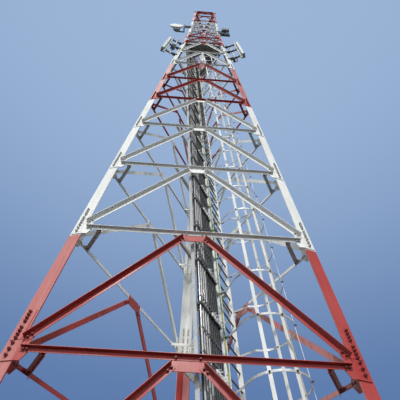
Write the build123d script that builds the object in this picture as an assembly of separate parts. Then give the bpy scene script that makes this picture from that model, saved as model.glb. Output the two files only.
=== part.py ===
"""Three-legged lattice radio mast with a caged ladder, feeder cables and aerials.

Millimetres. The tower axis is vertical. Plan coordinates are centred on the
tower axis while the pieces are made; save() moves every piece so that the
origin lies under the rear base plate. -Y is the front face.
"""
import os
from math import cos, pi, radians, sin, sqrt

from build123d import *

OUT = "parts"

# Tower outline
BASE_SIDE = 3767.0          # leg spacing at the ground
DECK_SIDE = 1725.0          # leg spacing at the deck
FIRST_LEVEL = 1700.0
BAY = 1750.0
BAYS_TO_DECK = 10
DECK_Z = FIRST_LEVEL + BAY * (BAYS_TO_DECK - 1)
TAPER = (BASE_SIDE - DECK_SIDE) / DECK_Z
KINK_Z = 19800.0            # where the taper changes
TOP_TAPER = 0.040
TOP_Z = 25800.0
BAND_COUNTS = (3, 6, 8, 10)   # bays below each change of colour, up to the deck
MAST_LEVELS = [DECK_Z, 18625.0, KINK_Z]
TOP_LEVELS = [KINK_Z, 20800.0, 21800.0, 22800.0, 24300.0, TOP_Z]
LEVELS = [0.0] + [FIRST_LEVEL + BAY * i for i in range(BAYS_TO_DECK)]

# Steel sections
LEG_W, LEG_T = 155.0, 14.0
MAST_LEG_W, MAST_LEG_T = 110.0, 10.0
LEG_BEND = 15.0             # turn of a leg flange out of the flat side, degrees
DIAG_W, DIAG_T = 63.0, 6.0
HORIZ_W, HORIZ_T = 47.0, 5.0
BEAM_W, BEAM_T = 63.0, 6.0
MAST_DIAG_W, MAST_DIAG_T = 45.0, 5.0
PLATE_T = 10.0              # gusset thickness
PLATE_SHY = 18.0            # plates on a leg flange stay this far from its heel
PLATE_REACH = 95.0          # of a corner gusset beyond the leg
BAR_GAP = 20.0              # from the edge of the leg flange to the end of a bar
JOINT_DROP, JOINT_RISE = 105.0, 100.0   # reach of a corner gusset along the leg
FOOT_UP, PEAK_DOWN = 100.0, 75.0        # ends of a diagonal off its levels
SPLICE_T = 8.0
SPLICE_LOW, SPLICE_HIGH = 108.0, 444.0  # above the level
SPLICE_SHARE = 0.88         # of the flange width, from the heel

# Base plates
PLATE_RADIUS = 2105.0       # tower axis to the middle of a base plate
BASE_W, BASE_T = 460.0, 25.0
ANCHOR_PCD, ANCHOR_R = 480.0, 16.0

# Plan bracing near the legs
CORNER_SHARE = 0.115        # distance from the leg as a share of the spacing
HIGH_CORNER_SHARE = 0.10    # the same, where the brace lies on the gussets
CORNER_W, CORNER_T = 50.0, 6.0

# Ladder, set parallel to the left face and to the right front leg
BEAM_FROM_LEG = 1780.0
LADDER_FROM_LEG = 1606.5
BEAM_DROP = 31.0            # underside of a beam below its level
STILE_NEAR, STILE_FAR = 800.0, 1230.0
STILE_W, STILE_T = 60.0, 12.0
RUNG_PITCH, RUNG_R = 225.0, 12.0
LADDER_LOW, LADDER_HIGH = 250.0, 17560.0
FIRST_RUNG = 350.0
HOOP_PITCH = 3 * RUNG_PITCH
HOOP_LOW, HOOP_COUNT = 2150.0, 22
HOOP_R, HOOP_MID, HOOP_REACH = 360.0, 930.0, 480.0
HOOP_H, HOOP_T = 28.0, 5.0
HOOP_STEPS, HOOP_EXTRA_NEAR, HOOP_EXTRA_FAR = 14, 4, 3   # facets of half a circle, and beyond it
STRAP_W, STRAP_T = 40.0, 5.0

# Feeder cables on their rack
RACK_EDGE = 60.0
CABLE_FIRST, CABLE_PITCH, CABLE_COUNT, CABLE_R = 100.0, 58.0, 9, 24.0

# Deck
DECK_LOW = DECK_Z - BEAM_DROP + BEAM_W   # underside of the plate, on the joists
DECK_T = 8.0
CABLE_HIGH = DECK_LOW + DECK_T - 4.0
RAIL_R, RAIL_IN = 17.0, 92.0

SQ3 = sqrt(3.0)


def spacing(z):
    """Leg spacing at height z."""
    if z <= KINK_Z:
        return BASE_SIDE - TAPER * z
    return BASE_SIDE - TAPER * KINK_Z - TOP_TAPER * (z - KINK_Z)


def unit(deg):
    return Vector(cos(radians(deg)), sin(radians(deg)), 0)


def heel(deg, z):
    """Outer corner of the leg that stands in direction deg."""
    p = unit(deg) * (spacing(z) / SQ3)
    return Vector(p.X, p.Y, z)


LEFT, RIGHT, REAR = 210.0, 330.0, 90.0
CORNERS = (LEFT, RIGHT, REAR)


def loft_v(outline, lows, highs):
    """Prism whose plan outline moves from lows to highs without turning."""
    face = make_face(Polyline(*[lows + p for p in outline], close=True))
    return Solid.extrude(face.faces()[0], highs - lows)


def leg_outline(w, t):
    """Rolled angle with its heel at the origin of the left corner."""
    a, b = unit(-LEG_BEND), unit(60 + LEG_BEND)
    return [Vector(0, 0, 0), a * w, a * w + b * t, (a + b) * t, b * w + a * t, b * w]


def flange_out(leg_w):
    """How far the edge of a leg flange stands out of the flat side."""
    return leg_w * sin(radians(LEG_BEND))


def flange_in(leg_w):
    return leg_w * cos(radians(LEG_BEND))


def flange_plate(deg, side, z0, z1, near, far, t):
    """Plate on the outside of one flange of the leg in direction deg.
    Side 0 is the flange beside the next flat side, side 1 the other one."""
    if side == 0:
        along, out = unit(-LEG_BEND), unit(-LEG_BEND - 90)
    else:
        along, out = unit(60 + LEG_BEND), unit(150 + LEG_BEND)
    pts = [along * near, along * far, along * far + out * t, along * near + out * t]
    return loft_v(turned(pts, deg - LEFT), heel(deg, z0), heel(deg, z1))


def turned(points, deg):
    return [p.rotate(Axis.Z, deg) for p in points]


def legs(z0, z1, w, t):
    """The same length of all three legs."""
    out = []
    for deg in CORNERS:
        pts = turned(leg_outline(w, t), deg - LEFT)
        out.append(loft_v(pts, heel(deg, z0), heel(deg, z1)))
    return out


def leg_splices(levels):
    """Cover plates on both flanges of every leg, above each level."""
    out = []
    for z in levels:
        for deg in CORNERS:
            for side in (0, 1):
                out.append(flange_plate(deg, side, z + SPLICE_LOW, z + SPLICE_HIGH,
                                        PLATE_SHY, SPLICE_SHARE * LEG_W, SPLICE_T))
    return out


class FaceFrame:
    """Flat side of the tower: u along it, v up it, w out of it."""

    def __init__(self, z0, taper):
        self.z0 = z0
        self.half0 = spacing(z0) / 2
        self.taper = taper
        lean = taper / (2 * SQ3)
        self.norm = sqrt(1 + lean * lean)
        self.plane = Plane(
            origin=(0, -spacing(z0) / (2 * SQ3), z0),
            x_dir=(1, 0, 0),
            z_dir=(0, -1, lean),
        )

    def v(self, z):
        return (z - self.z0) * self.norm

    def half(self, v):
        return self.half0 - self.taper * (v / self.norm) / 2

    def place(self, piece):
        return self.plane.location * piece


LOWER = FaceFrame(0.0, TAPER)
UPPER = FaceFrame(KINK_Z, TOP_TAPER)


def angle_bar(p, q, w, t, base):
    """Angle bar lying on the gussets, with its free leg on the upper edge."""
    (pu, pv), (qu, qv) = p, q
    length = sqrt((qu - pu) ** 2 + (qv - pv) ** 2)
    du, dv = (qu - pu) / length, (qv - pv) / length
    sect = [(-w / 2, base), (w / 2, base), (w / 2, base + w),
            (w / 2 - t, base + w), (w / 2 - t, base + t), (-w / 2, base + t)]
    plane = Plane(origin=(pu, pv, 0), x_dir=(-dv, du, 0), z_dir=(du, dv, 0))
    return extrude(plane * Polygon(*sect, align=None), amount=length)


def flat(points, base, t=PLATE_T):
    return Pos(0, 0, base) * extrude(Polygon(*points, align=None), amount=t)


def corner_reach(leg_w):
    """How far a corner gusset reaches in from the heel of the leg."""
    return leg_w + PLATE_REACH


def peak_out(s):
    return 40.0 + 0.026 * s


def corner_gusset(f, z, leg_w, drop=JOINT_DROP, rise=JOINT_RISE):
    """Bent plate: one part on the leg flange, one in the layer of the bars."""
    v = f.v(z)
    bend = lambda q: -f.half(q) + flange_in(leg_w) - 4.0
    inner = -f.half(v) + leg_w
    reach = inner + PLATE_REACH
    up = 1.9 * rise
    pts = [(bend(v - drop), v - drop), (inner + 50, v - max(drop, 30.0)), (reach, v - 21), (reach, v + 22)]
    if rise > 60:
        pts += [(inner + 72, v + 62), (reach, v + 0.75 * up), (inner + 76, v + up), (inner + 34, v + up)]
    else:
        pts += [(inner + 60, v + 1.6 * rise), (inner + 30, v + 1.6 * rise)]
    pts += [(bend(v + rise), v + rise)]
    face = f.place(flat(pts, flange_out(leg_w)))
    side = flange_plate(LEFT, 0, z - drop / f.norm, z + rise / f.norm, PLATE_SHY, leg_w, PLATE_T)
    return face + side


def base_gusset(f, leg_w):
    """Bent plate that joins the lowest diagonals to the foot of a leg."""
    low, rise = BASE_T, 330.0
    bend = lambda q: -f.half(q) + flange_in(leg_w) - 4.0
    inner = -f.half(0) + leg_w
    pts = [(bend(low + 2), low + 2), (inner + 150, low + 2), (inner + 190, low + 90), (inner + 150, low + 215),
           (inner + 60, rise), (bend(rise), rise)]
    face = f.place(flat(pts, flange_out(leg_w)))
    side = flange_plate(LEFT, 0, low, rise / f.norm, PLATE_SHY, leg_w, PLATE_T)
    return face + side


def peak_plate(f, z, bay, leg_w, top=20.0):
    """Outline of the plate under a horizontal, with a tongue behind each diagonal."""
    v = f.v(z)
    p = peak_out(2 * f.half(v))
    foot = (-f.half(v - bay) + leg_w + BAR_GAP, v - bay + FOOT_UP)
    du, dv = foot[0] + p, foot[1] - (v - PEAK_DOWN)
    length = sqrt(du * du + dv * dv)
    du, dv = du / length, dv / length
    tongue = lambda along, out: (-p + du * along + dv * out, v - PEAK_DOWN + dv * along - du * out)
    left = [(-p - 30, v + top), tongue(15, 26), tongue(105, 26), tongue(105, -26), tongue(46, -26)]
    left.append((left[-1][0] + 30, left[-1][1]))
    return left + [(-u, q) for u, q in left[::-1]]


def packer(f, z, bay, leg_w, base, t):
    """Plate between a peak plate and diagonals that lie further out."""
    return flat(peak_plate(f, z, bay, leg_w, top=-32.0), base, t)


def bracing(f, levels, leg_w, diag, horiz, top=False, first_drop=JOINT_DROP, pack=0.0, own=None, last=True):
    """The front side between the first and last level: bars and gussets.

    own is the bay below the first level, where this band has the plate there.
    last says whether it has the plate at its last level.
    """
    layer = flange_out(leg_w)
    base = layer + PLATE_T
    pieces, corners = [], []
    if pack:
        pieces.append(packer(f, levels[0], own, LEG_W, base, pack))
    if own:
        pieces.append(flat(peak_plate(f, levels[0], own, LEG_W if pack else leg_w), layer))
    for low, high in zip(levels, levels[1:]):
        if high < levels[-1] or last:
            pieces.append(flat(peak_plate(f, high, high - low, leg_w), layer))
    for low, high in zip(levels, levels[1:]):
        v0, v1 = f.v(low), f.v(high)
        h0, h1 = f.half(v0), f.half(v1)
        foot = (-h0 + leg_w + BAR_GAP, v0 + FOOT_UP)
        peak = (-peak_out(2 * h1), v1 - PEAK_DOWN)
        pieces.append(angle_bar(foot, peak, *diag, base))
        pieces.append(angle_bar((-peak[0], peak[1]), (-foot[0], foot[1]), *diag, base))
    for i, z in enumerate(levels[:-1] + ([levels[-1]] if top else [])):
        v = f.v(z)
        if z > 0:
            drop = first_drop if i == 0 else JOINT_DROP
            rise = 34.0 if z == levels[-1] else JOINT_RISE
            corners.append(corner_gusset(f, z, leg_w, drop, rise))
            end = f.half(v) - leg_w - BAR_GAP
            pieces.append(angle_bar((-end, v), (end, v), *horiz, base))
        else:
            corners.append(base_gusset(f, leg_w))
    part = f.place(pieces[0])
    for p in pieces[1:]:
        part = part + f.place(p)
    for c in corners:
        part = part + c + mirror(c, about=Plane.YZ)
    return part


def on_side(piece, side):
    """A piece of the front side, turned to another side."""
    return Rot(0, 0, 120 * side) * piece


def solids_of(thing):
    if isinstance(thing, (list, tuple)):
        out = []
        for t in thing:
            out += solids_of(t)
        return out
    return list(thing.solids())


def save(name, thing):
    """Move a node so that the origin lies under the rear base plate."""
    group = Compound(children=[s.moved(Location((0, -PLATE_RADIUS, 0))) for s in solids_of(thing)])
    export_step(group, os.path.join(OUT, name + ".step"))


# Base plates

def base_plates():
    out = []
    for deg in CORNERS:
        plate = Pos(0, 0, BASE_T / 2) * Box(BASE_W, BASE_W, BASE_T)
        for i in range(4):
            hole = unit(45 + 90 * i) * (ANCHOR_PCD / 2)
            plate -= Pos(hole.X, hole.Y, BASE_T / 2) * Cylinder(ANCHOR_R, BASE_T)
        at = unit(deg) * PLATE_RADIUS
        out.append(Pos(at.X, at.Y, 0) * (Rot(0, 0, deg - REAR) * plate))
    return out


# Plan bracing

def corner_braces(deg, levels):
    """Short angles that tie the two horizontals beside one leg."""
    out = []
    k = 1 / sin(radians(60))
    for z in levels:
        s = spacing(z)
        layer, reach = flange_out(LEG_W) + PLATE_T, CORNER_SHARE * s
        if reach - CORNER_W / 2 * k - 5.0 < corner_reach(LEG_W):
            layer, reach = flange_out(LEG_W), HIGH_CORNER_SHARE * s
        d = reach + layer * SQ3
        a, b = unit(0), unit(60)
        half = CORNER_W / 2 * k
        web = CORNER_T * k
        flange = [a * (d - half), b * (d - half), b * (d + half), a * (d + half)]
        rib = [a * (d + half - web), b * (d + half - web), b * (d + half), a * (d + half)]
        top = Vector(0, 0, CORNER_T)
        h = heel(deg, z) + unit(deg) * (2 * layer)
        h0 = Vector(h.X, h.Y, z - CORNER_T)
        piece = loft_v(turned(flange, deg - LEFT), h0, h0 + top)
        low = Vector(h.X, h.Y, z - CORNER_W)
        piece = piece + loft_v(turned(rib, deg - LEFT), low, low + Vector(0, 0, CORNER_W))
        out.append(piece)
    return out


# Beams, ladder and cage

ALONG = unit(60)            # direction of the left face, from front to rear
ACROSS = unit(-30)          # from the ladder towards the right front leg
DRIFT = unit(150) * (TAPER / SQ3) + Vector(0, 0, 1)


def plan_strip(z, z_low, z_high, from_leg_a, from_leg_b, out_w):
    """Flat strip parallel to the left face that ends on the front and right faces."""
    depth = spacing(z_high) / (2 * SQ3) + out_w
    corner = heel(RIGHT, z)
    ends = []
    for a in (from_leg_a, from_leg_b):
        p = Vector(corner.X - a, corner.Y, 0)
        to_front = (-depth - p.Y) / ALONG.Y
        to_right = (depth - unit(30).dot(p)) / unit(30).dot(ALONG)
        ends.append((p + ALONG * to_front, p + ALONG * to_right))
    pts = [ends[0][0], ends[1][0], ends[1][1], ends[0][1]]
    return loft_v(pts, Vector(0, 0, z_low), Vector(0, 0, z_high))


def beam(z, from_leg, leg_w=LEG_W):
    """Angle beam between the front and right horizontals."""
    k = 1 / sin(radians(60))
    s = spacing(z)
    far = from_leg + BEAM_W * k
    u0, u1 = s / 2 - far, s / 2 - from_leg
    near_peak = u0 < 0 < u1 or min(abs(u0), abs(u1)) < peak_out(s) + 75.0
    near_leg = s - far < corner_reach(leg_w) + 10.0
    out_w = flange_out(leg_w) + (0.0 if near_peak or near_leg else PLATE_T)
    low, high = z - BEAM_DROP, z - BEAM_DROP + BEAM_W
    web = plan_strip(z, low, high, from_leg, from_leg + BEAM_T * k, out_w)
    flange = plan_strip(z, high - BEAM_T, high, from_leg + BEAM_T * k, far, out_w)
    return web + flange


def ladder_plane(z=0.0):
    """Local frame: x along the ladder's width, y to the left face, z up it."""
    s = spacing(z)
    origin = Vector(s / 2 - LADDER_FROM_LEG, -s / (2 * SQ3), z)
    return Plane(origin=origin, x_dir=ALONG, z_dir=DRIFT)


LADDER = ladder_plane()
RUN = DRIFT.length


def on_ladder(piece):
    return LADDER.location * piece


def box_at(x0, x1, y0, y1, z0, z1):
    return Pos((x0 + x1) / 2, (y0 + y1) / 2, (z0 + z1) / 2) * Box(x1 - x0, y1 - y0, z1 - z0)


def ladder_stiles():
    out = []
    for x in (STILE_NEAR, STILE_FAR):
        out.append(on_ladder(box_at(x - STILE_T / 2, x + STILE_T / 2, -STILE_W / 2, STILE_W / 2,
                                    LADDER_LOW * RUN, LADDER_HIGH * RUN)))
    return out


def ladder_rungs():
    out = []
    z = FIRST_RUNG
    length = STILE_FAR - STILE_NEAR - STILE_T
    while z < LADDER_HIGH - 60:
        rung = extrude(Plane(origin=(STILE_NEAR + STILE_T / 2, 0, z * RUN), x_dir=(0, 1, 0), z_dir=(1, 0, 0))
                       * RegularPolygon(RUNG_R, 6), amount=length)
        out.append(on_ladder(rung))
        z += RUNG_PITCH
    return out


def hoop_path(r):
    """Round hoop that is open towards the stiles, as plan points."""
    pts = [(STILE_NEAR, -STILE_W / 2)]
    for i in range(-HOOP_EXTRA_NEAR, HOOP_STEPS + HOOP_EXTRA_FAR + 1):
        a = pi + pi * i / HOOP_STEPS
        pts.append((HOOP_MID + r * cos(a), -HOOP_REACH + r * sin(a)))
    pts.append((STILE_FAR, -STILE_W / 2))
    return pts


def cage_hoops():
    out = []
    outer, inner = hoop_path(HOOP_R + HOOP_T / 2), hoop_path(HOOP_R - HOOP_T / 2)
    outer[0] = (STILE_NEAR - HOOP_T / 2, -STILE_W / 2)
    inner[0] = (STILE_NEAR + HOOP_T / 2, -STILE_W / 2)
    outer[-1] = (STILE_FAR + HOOP_T / 2, -STILE_W / 2)
    inner[-1] = (STILE_FAR - HOOP_T / 2, -STILE_W / 2)
    ring = extrude(Polygon(*(outer + inner[::-1]), align=None), amount=HOOP_H)
    for i in range(HOOP_COUNT):
        z = HOOP_LOW + HOOP_PITCH * i
        out.append(on_ladder(Pos(0, 0, z * RUN - HOOP_H / 2) * ring))
    return out


def cage_straps():
    out = []
    r = (HOOP_R - HOOP_T / 2) * cos(pi / 28) - 0.5
    low = HOOP_LOW * RUN - 60
    high = (HOOP_LOW + HOOP_PITCH * (HOOP_COUNT - 1)) * RUN + 60
    for i, deg in enumerate((180 + 90 / 14, 225 + 90 / 14, 270 + 90 / 14, 315 + 90 / 14, 360 - 90 / 14)):
        bar = box_at(r - STRAP_T, r, -STRAP_W / 2, STRAP_W / 2, low, high)
        out.append(on_ladder(Pos(HOOP_MID, -HOOP_REACH, 0) * (Rot(0, 0, deg) * bar)))
    return out


def hoop_levels():
    return [HOOP_LOW + HOOP_PITCH * i for i in range(HOOP_COUNT)]


def cable_rack():
    """Edge rail and cross bars beside the ladder."""
    end = STILE_NEAR - STILE_T / 2
    parts = [box_at(RACK_EDGE - 8, RACK_EDGE, 0, 45, LADDER_LOW * RUN, DECK_Z * RUN)]
    for z in hoop_levels() + [HOOP_LOW - HOOP_PITCH, HOOP_LOW - 2 * HOOP_PITCH]:
        h = z * RUN
        parts.append(box_at(RACK_EDGE - 4, end, 0, 6, h - 20, h + 20))
        parts.append(box_at(RACK_EDGE - 4, end, 0, 40, h - 20, h - 14))
    rack = parts[0]
    for p in parts[1:]:
        rack = rack + p
    return on_ladder(rack)


def cable_x():
    return [CABLE_FIRST + CABLE_PITCH * i for i in range(CABLE_COUNT)]


def feeder_cables():
    out = []
    for x in cable_x():
        c = Pos(x, -CABLE_R - 0.5, (LADDER_LOW + 150) * RUN) * Cylinder(
            CABLE_R, (CABLE_HIGH - LADDER_LOW - 150) * RUN, align=(Align.CENTER, Align.CENTER, Align.MIN))
        out.append(on_ladder(c))
    return out


def cable_clamps():
    """Comb shaped clamp at each cross bar."""
    xs = cable_x()
    out = []
    front = -2 * CABLE_R - 1.5
    for z in hoop_levels():
        h = z * RUN
        c = box_at(xs[0] - 35, xs[-1] + 35, front - 6, front, h - 18, h + 18)
        for x in [xs[0] - CABLE_PITCH / 2] + [x + CABLE_PITCH / 2 for x in xs]:
            c = c + box_at(x - 5, x + 5, front, 0, h - 18, h + 18)
        out.append(on_ladder(c))
    return out


def earthing_cable():
    x = STILE_NEAR - STILE_T / 2 - 9.5
    c = Pos(x, -16, LADDER_LOW * RUN) * Cylinder(9, (DECK_Z - LADDER_LOW) * RUN,
                                                align=(Align.CENTER, Align.CENTER, Align.MIN))
    return on_ladder(c)


def ladder_brackets(levels):
    """Stubs from the stiles to the beams behind them."""
    out = []
    gap = (BEAM_FROM_LEG - LADDER_FROM_LEG) * sin(radians(60))
    for z in levels:
        pl = ladder_plane(z)
        for x in (STILE_NEAR, STILE_FAR):
            stub = pl.location * box_at(x - 25, x + 25, STILE_W / 2, gap + 3, -25, 25)
            out.append(stub - beam(z, BEAM_FROM_LEG))
    return out


# Deck

def local_plan(z, x, y):
    """Plan point at height z from ladder coordinates."""
    s = spacing(z)
    return Vector(s / 2 - LADDER_FROM_LEG, -s / (2 * SQ3), 0) + ALONG * x - ACROSS * y


def platform_deck():
    z0 = DECK_LOW
    s = spacing(z0 + DECK_T) - 2 * 15 * SQ3
    cut = 170.0
    pts = []
    for deg in CORNERS:
        tip = unit(deg) * (s / SQ3)
        pts += [tip + unit(deg - 150) * cut, tip + unit(deg + 150) * cut]
    deck = loft_v(pts, Vector(0, 0, z0), Vector(0, 0, z0 + DECK_T))
    last = CABLE_FIRST + CABLE_PITCH * (CABLE_COUNT - 1)
    hatch = (STILE_NEAR - 100, STILE_FAR + 32, -480, 45)
    for x0, x1, y0, y1 in (hatch, (RACK_EDGE + 5, last + 40, -60, 15)):
        hole = [local_plan(z0, x, y) for x, y in ((x0, y0), (x1, y0), (x1, y1), (x0, y1))]
        deck = deck - loft_v(hole, Vector(0, 0, z0 - 5), Vector(0, 0, z0 + 20))
    return deck


def platform_joists():
    return [beam(DECK_Z, a, MAST_LEG_W) for a in (380.0, 860.0)]


def platform_rails():
    """Tubes whose ends are cut to the inside of the leg flanges."""
    out = []
    cutters = legs(DECK_Z + 500, DECK_Z + 1200, MAST_LEG_W, MAST_LEG_T)
    for side in range(3):
        for z in (DECK_Z + 600, DECK_Z + 1100):
            v = LOWER.v(z)
            end = LOWER.half(v) - RAIL_IN
            bar = extrude(Plane(origin=(-end, v, 0), x_dir=(0, 1, 0), z_dir=(1, 0, 0))
                          * RegularPolygon(RAIL_R, 8, rotation=22.5, major_radius=False), amount=2 * end)
            bar = on_side(LOWER.place(bar), side)
            for leg in cutters:
                bar = bar - leg
            out.append(max(bar.solids(), key=lambda b: b.volume))
    return out


def top_plate():
    z0 = TOP_Z + 60.0
    s = spacing(TOP_Z) + 110
    ring = [unit(d) * (s / SQ3) for d in CORNERS]
    hole = [unit(d) * (s / SQ3 - 220) for d in CORNERS]
    plate = loft_v(ring, Vector(0, 0, z0), Vector(0, 0, z0 + 10))
    return plate - loft_v(hole, Vector(0, 0, z0 - 5), Vector(0, 0, z0 + 15))


# Aerials

ARM_LEVELS = (15250.0, 16290.0, 17150.0)
ARM_DIRS = {LEFT: 200.0, RIGHT: 340.0, REAR: 90.0}
INNER_PIPE, OUTER_PIPE, PIPE_R = 190.0, 400.0, 27.0
PIPE_LOW, PIPE_HIGH = 14950.0, 17550.0
PANEL_W, PANEL_D, PANEL_H = 180.0, 90.0, 1950.0
PANEL_OFF = 30.0            # between a pipe and its panel
RADIO_W, RADIO_D, RADIO_H = 160.0, 110.0, 330.0


def arm_plane(deg, z):
    """Frame on a leg's heel: x out along the arm, z up the leg."""
    up = heel(deg, z + 1000) - heel(deg, z)
    side = unit(ARM_DIRS[deg])
    x = side - up * (side.dot(up) / up.dot(up))
    return Plane(origin=heel(deg, z), x_dir=x, z_dir=up)


def saddle(deg, z, h=80.0):
    a, b = unit(-LEG_BEND), unit(60 + LEG_BEND)
    out = unit(210)
    pts = [Vector(0, 0, 0), a * 90, a * 90 - b * 25, out * 50, b * 90 - a * 25, b * 90]
    low = heel(deg, z - h / 2)
    return loft_v(turned(pts, deg - LEFT), low, heel(deg, z + h / 2))


def antenna_arms():
    out = []
    for deg in CORNERS:
        for z in ARM_LEVELS:
            arm = box_at(20, OUTER_PIPE - PIPE_R, -25, 25, -25, 25)
            out.append(saddle(deg, z) + arm_plane(deg, z).location * arm)
    return out


def pipe(deg, x, y):
    pl = arm_plane(deg, PIPE_LOW)
    run = (heel(deg, PIPE_HIGH) - heel(deg, PIPE_LOW)).length
    return pl.location * (Pos(x, y, 0) * Cylinder(PIPE_R, run, align=(Align.CENTER, Align.CENTER, Align.MIN)))


def antenna_pipes():
    out = []
    for deg in CORNERS:
        out.append(pipe(deg, INNER_PIPE, 25 + PIPE_R))
        out.append(pipe(deg, OUTER_PIPE, 0))
    return out


def panel_antennas():
    out = []
    for deg in CORNERS:
        pl = arm_plane(deg, PIPE_LOW + 250)
        near = OUTER_PIPE + PIPE_R
        body = box_at(near + PANEL_OFF, near + PANEL_OFF + PANEL_D, -PANEL_W / 2, PANEL_W / 2, 0, PANEL_H)
        body = chamfer(body.edges().filter_by(Axis.Z).sort_by(Axis.X)[-2:], 24)
        for z in (250, PANEL_H - 250):
            body = body + box_at(near, near + PANEL_OFF + 1, -35, 35, z - 30, z + 30)
        out.append(pl.location * body)
    return out


def radio_units():
    """Dark boxes on the inner pipes."""
    out = []
    for deg in CORNERS:
        pl = arm_plane(deg, PIPE_LOW + 480)
        y = 25 + 2 * PIPE_R
        out.append(pl.location * box_at(INNER_PIPE - RADIO_W / 2, INNER_PIPE + RADIO_W / 2, y, y + RADIO_D,
                                        0, RADIO_H))
    return out


DISH_Z = 20900.0
DISH_R, DISH_RIM, DISH_CONE, DISH_BACK = 325.0, 60.0, 80.0, 110.0
DISH_BACK_R = 150.0
DISH_AT = heel(LEFT, DISH_Z) + Vector(-640.0, -90.0, 0)
BOX_Z = 20500.0


def dish_antenna():
    rim = Cylinder(DISH_R, DISH_RIM, align=(Align.CENTER, Align.CENTER, Align.MIN))
    cone = Pos(0, 0, DISH_RIM) * Cone(DISH_R - 20, DISH_BACK_R + 15, DISH_CONE,
                                      align=(Align.CENTER, Align.CENTER, Align.MIN))
    back = Pos(0, 0, DISH_RIM + DISH_CONE) * Cylinder(DISH_BACK_R, DISH_BACK,
                                                      align=(Align.CENTER, Align.CENTER, Align.MIN))
    pl = Plane(origin=DISH_AT, x_dir=(1, 0, 0), z_dir=(0, 1, 0))
    return pl.location * (rim + cone + back)


def short_pole(at, low, high, r=30.0):
    return Pos(at.X, at.Y, low) * Cylinder(r, high - low, align=(Align.CENTER, Align.CENTER, Align.MIN))


def bar_between(p, q, w=45.0):
    d = q - p
    return extrude(Plane(origin=p, x_dir=(0, 0, 1), z_dir=d) * Rectangle(w, w), amount=d.length)


def upper_bracket(deg, pole_at, levels, half):
    """Pole held by two arms from a leg of the mast."""
    mid = sum(levels) / len(levels)
    out = short_pole(pole_at, mid - half, mid + half)
    for z in levels:
        start = heel(deg, z) + unit(deg) * 20
        end = Vector(pole_at.X, pole_at.Y, z)
        out = out + bar_between(start, end) + saddle(deg, z, 70)
    return out


DISH_POLE = Vector(DISH_AT.X + DISH_R + 40, DISH_AT.Y + 100, 0)
BOX_POLE = heel(RIGHT, BOX_Z) + Vector(300.0, -10.0, 0)


def dish_bracket():
    frame = upper_bracket(LEFT, DISH_POLE, (DISH_Z + 90, DISH_Z + 420), 420)
    back = DISH_AT.Y + DISH_RIM + DISH_CONE + DISH_BACK
    x = DISH_POLE.X
    link = box_at(x - 25, x + 25, DISH_POLE.Y, back + 50, DISH_Z - 60, DISH_Z - 10)
    yoke = box_at(DISH_AT.X - 60, x + 25, back, back + 50, DISH_Z - 60, DISH_Z - 10)
    return frame + link + yoke


def box_bracket():
    return upper_bracket(RIGHT, BOX_POLE, (BOX_Z - 330, BOX_Z + 40), 450)


def upper_boxes():
    x, y = BOX_POLE.X, BOX_POLE.Y
    return [box_at(x - 175, x + 175, y - 30 - 110, y - 30, BOX_Z - 190, BOX_Z + 170),
            box_at(x - 230, x + 230, y + 30, y + 30 + 80, BOX_Z - 330, BOX_Z + 10)]


def feeder_box():
    """Cabinet on the deck that the cables enter from below."""
    z0 = DECK_LOW + DECK_T
    x1 = CABLE_FIRST + CABLE_PITCH * (CABLE_COUNT - 1) + 50
    pts = [local_plan(z0, x, y) for x, y in ((RACK_EDGE - 5, -70), (x1, -70), (x1, 25), (RACK_EDGE - 5, 25))]
    return loft_v(pts, Vector(0, 0, z0), Vector(0, 0, z0 + 460))


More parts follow.
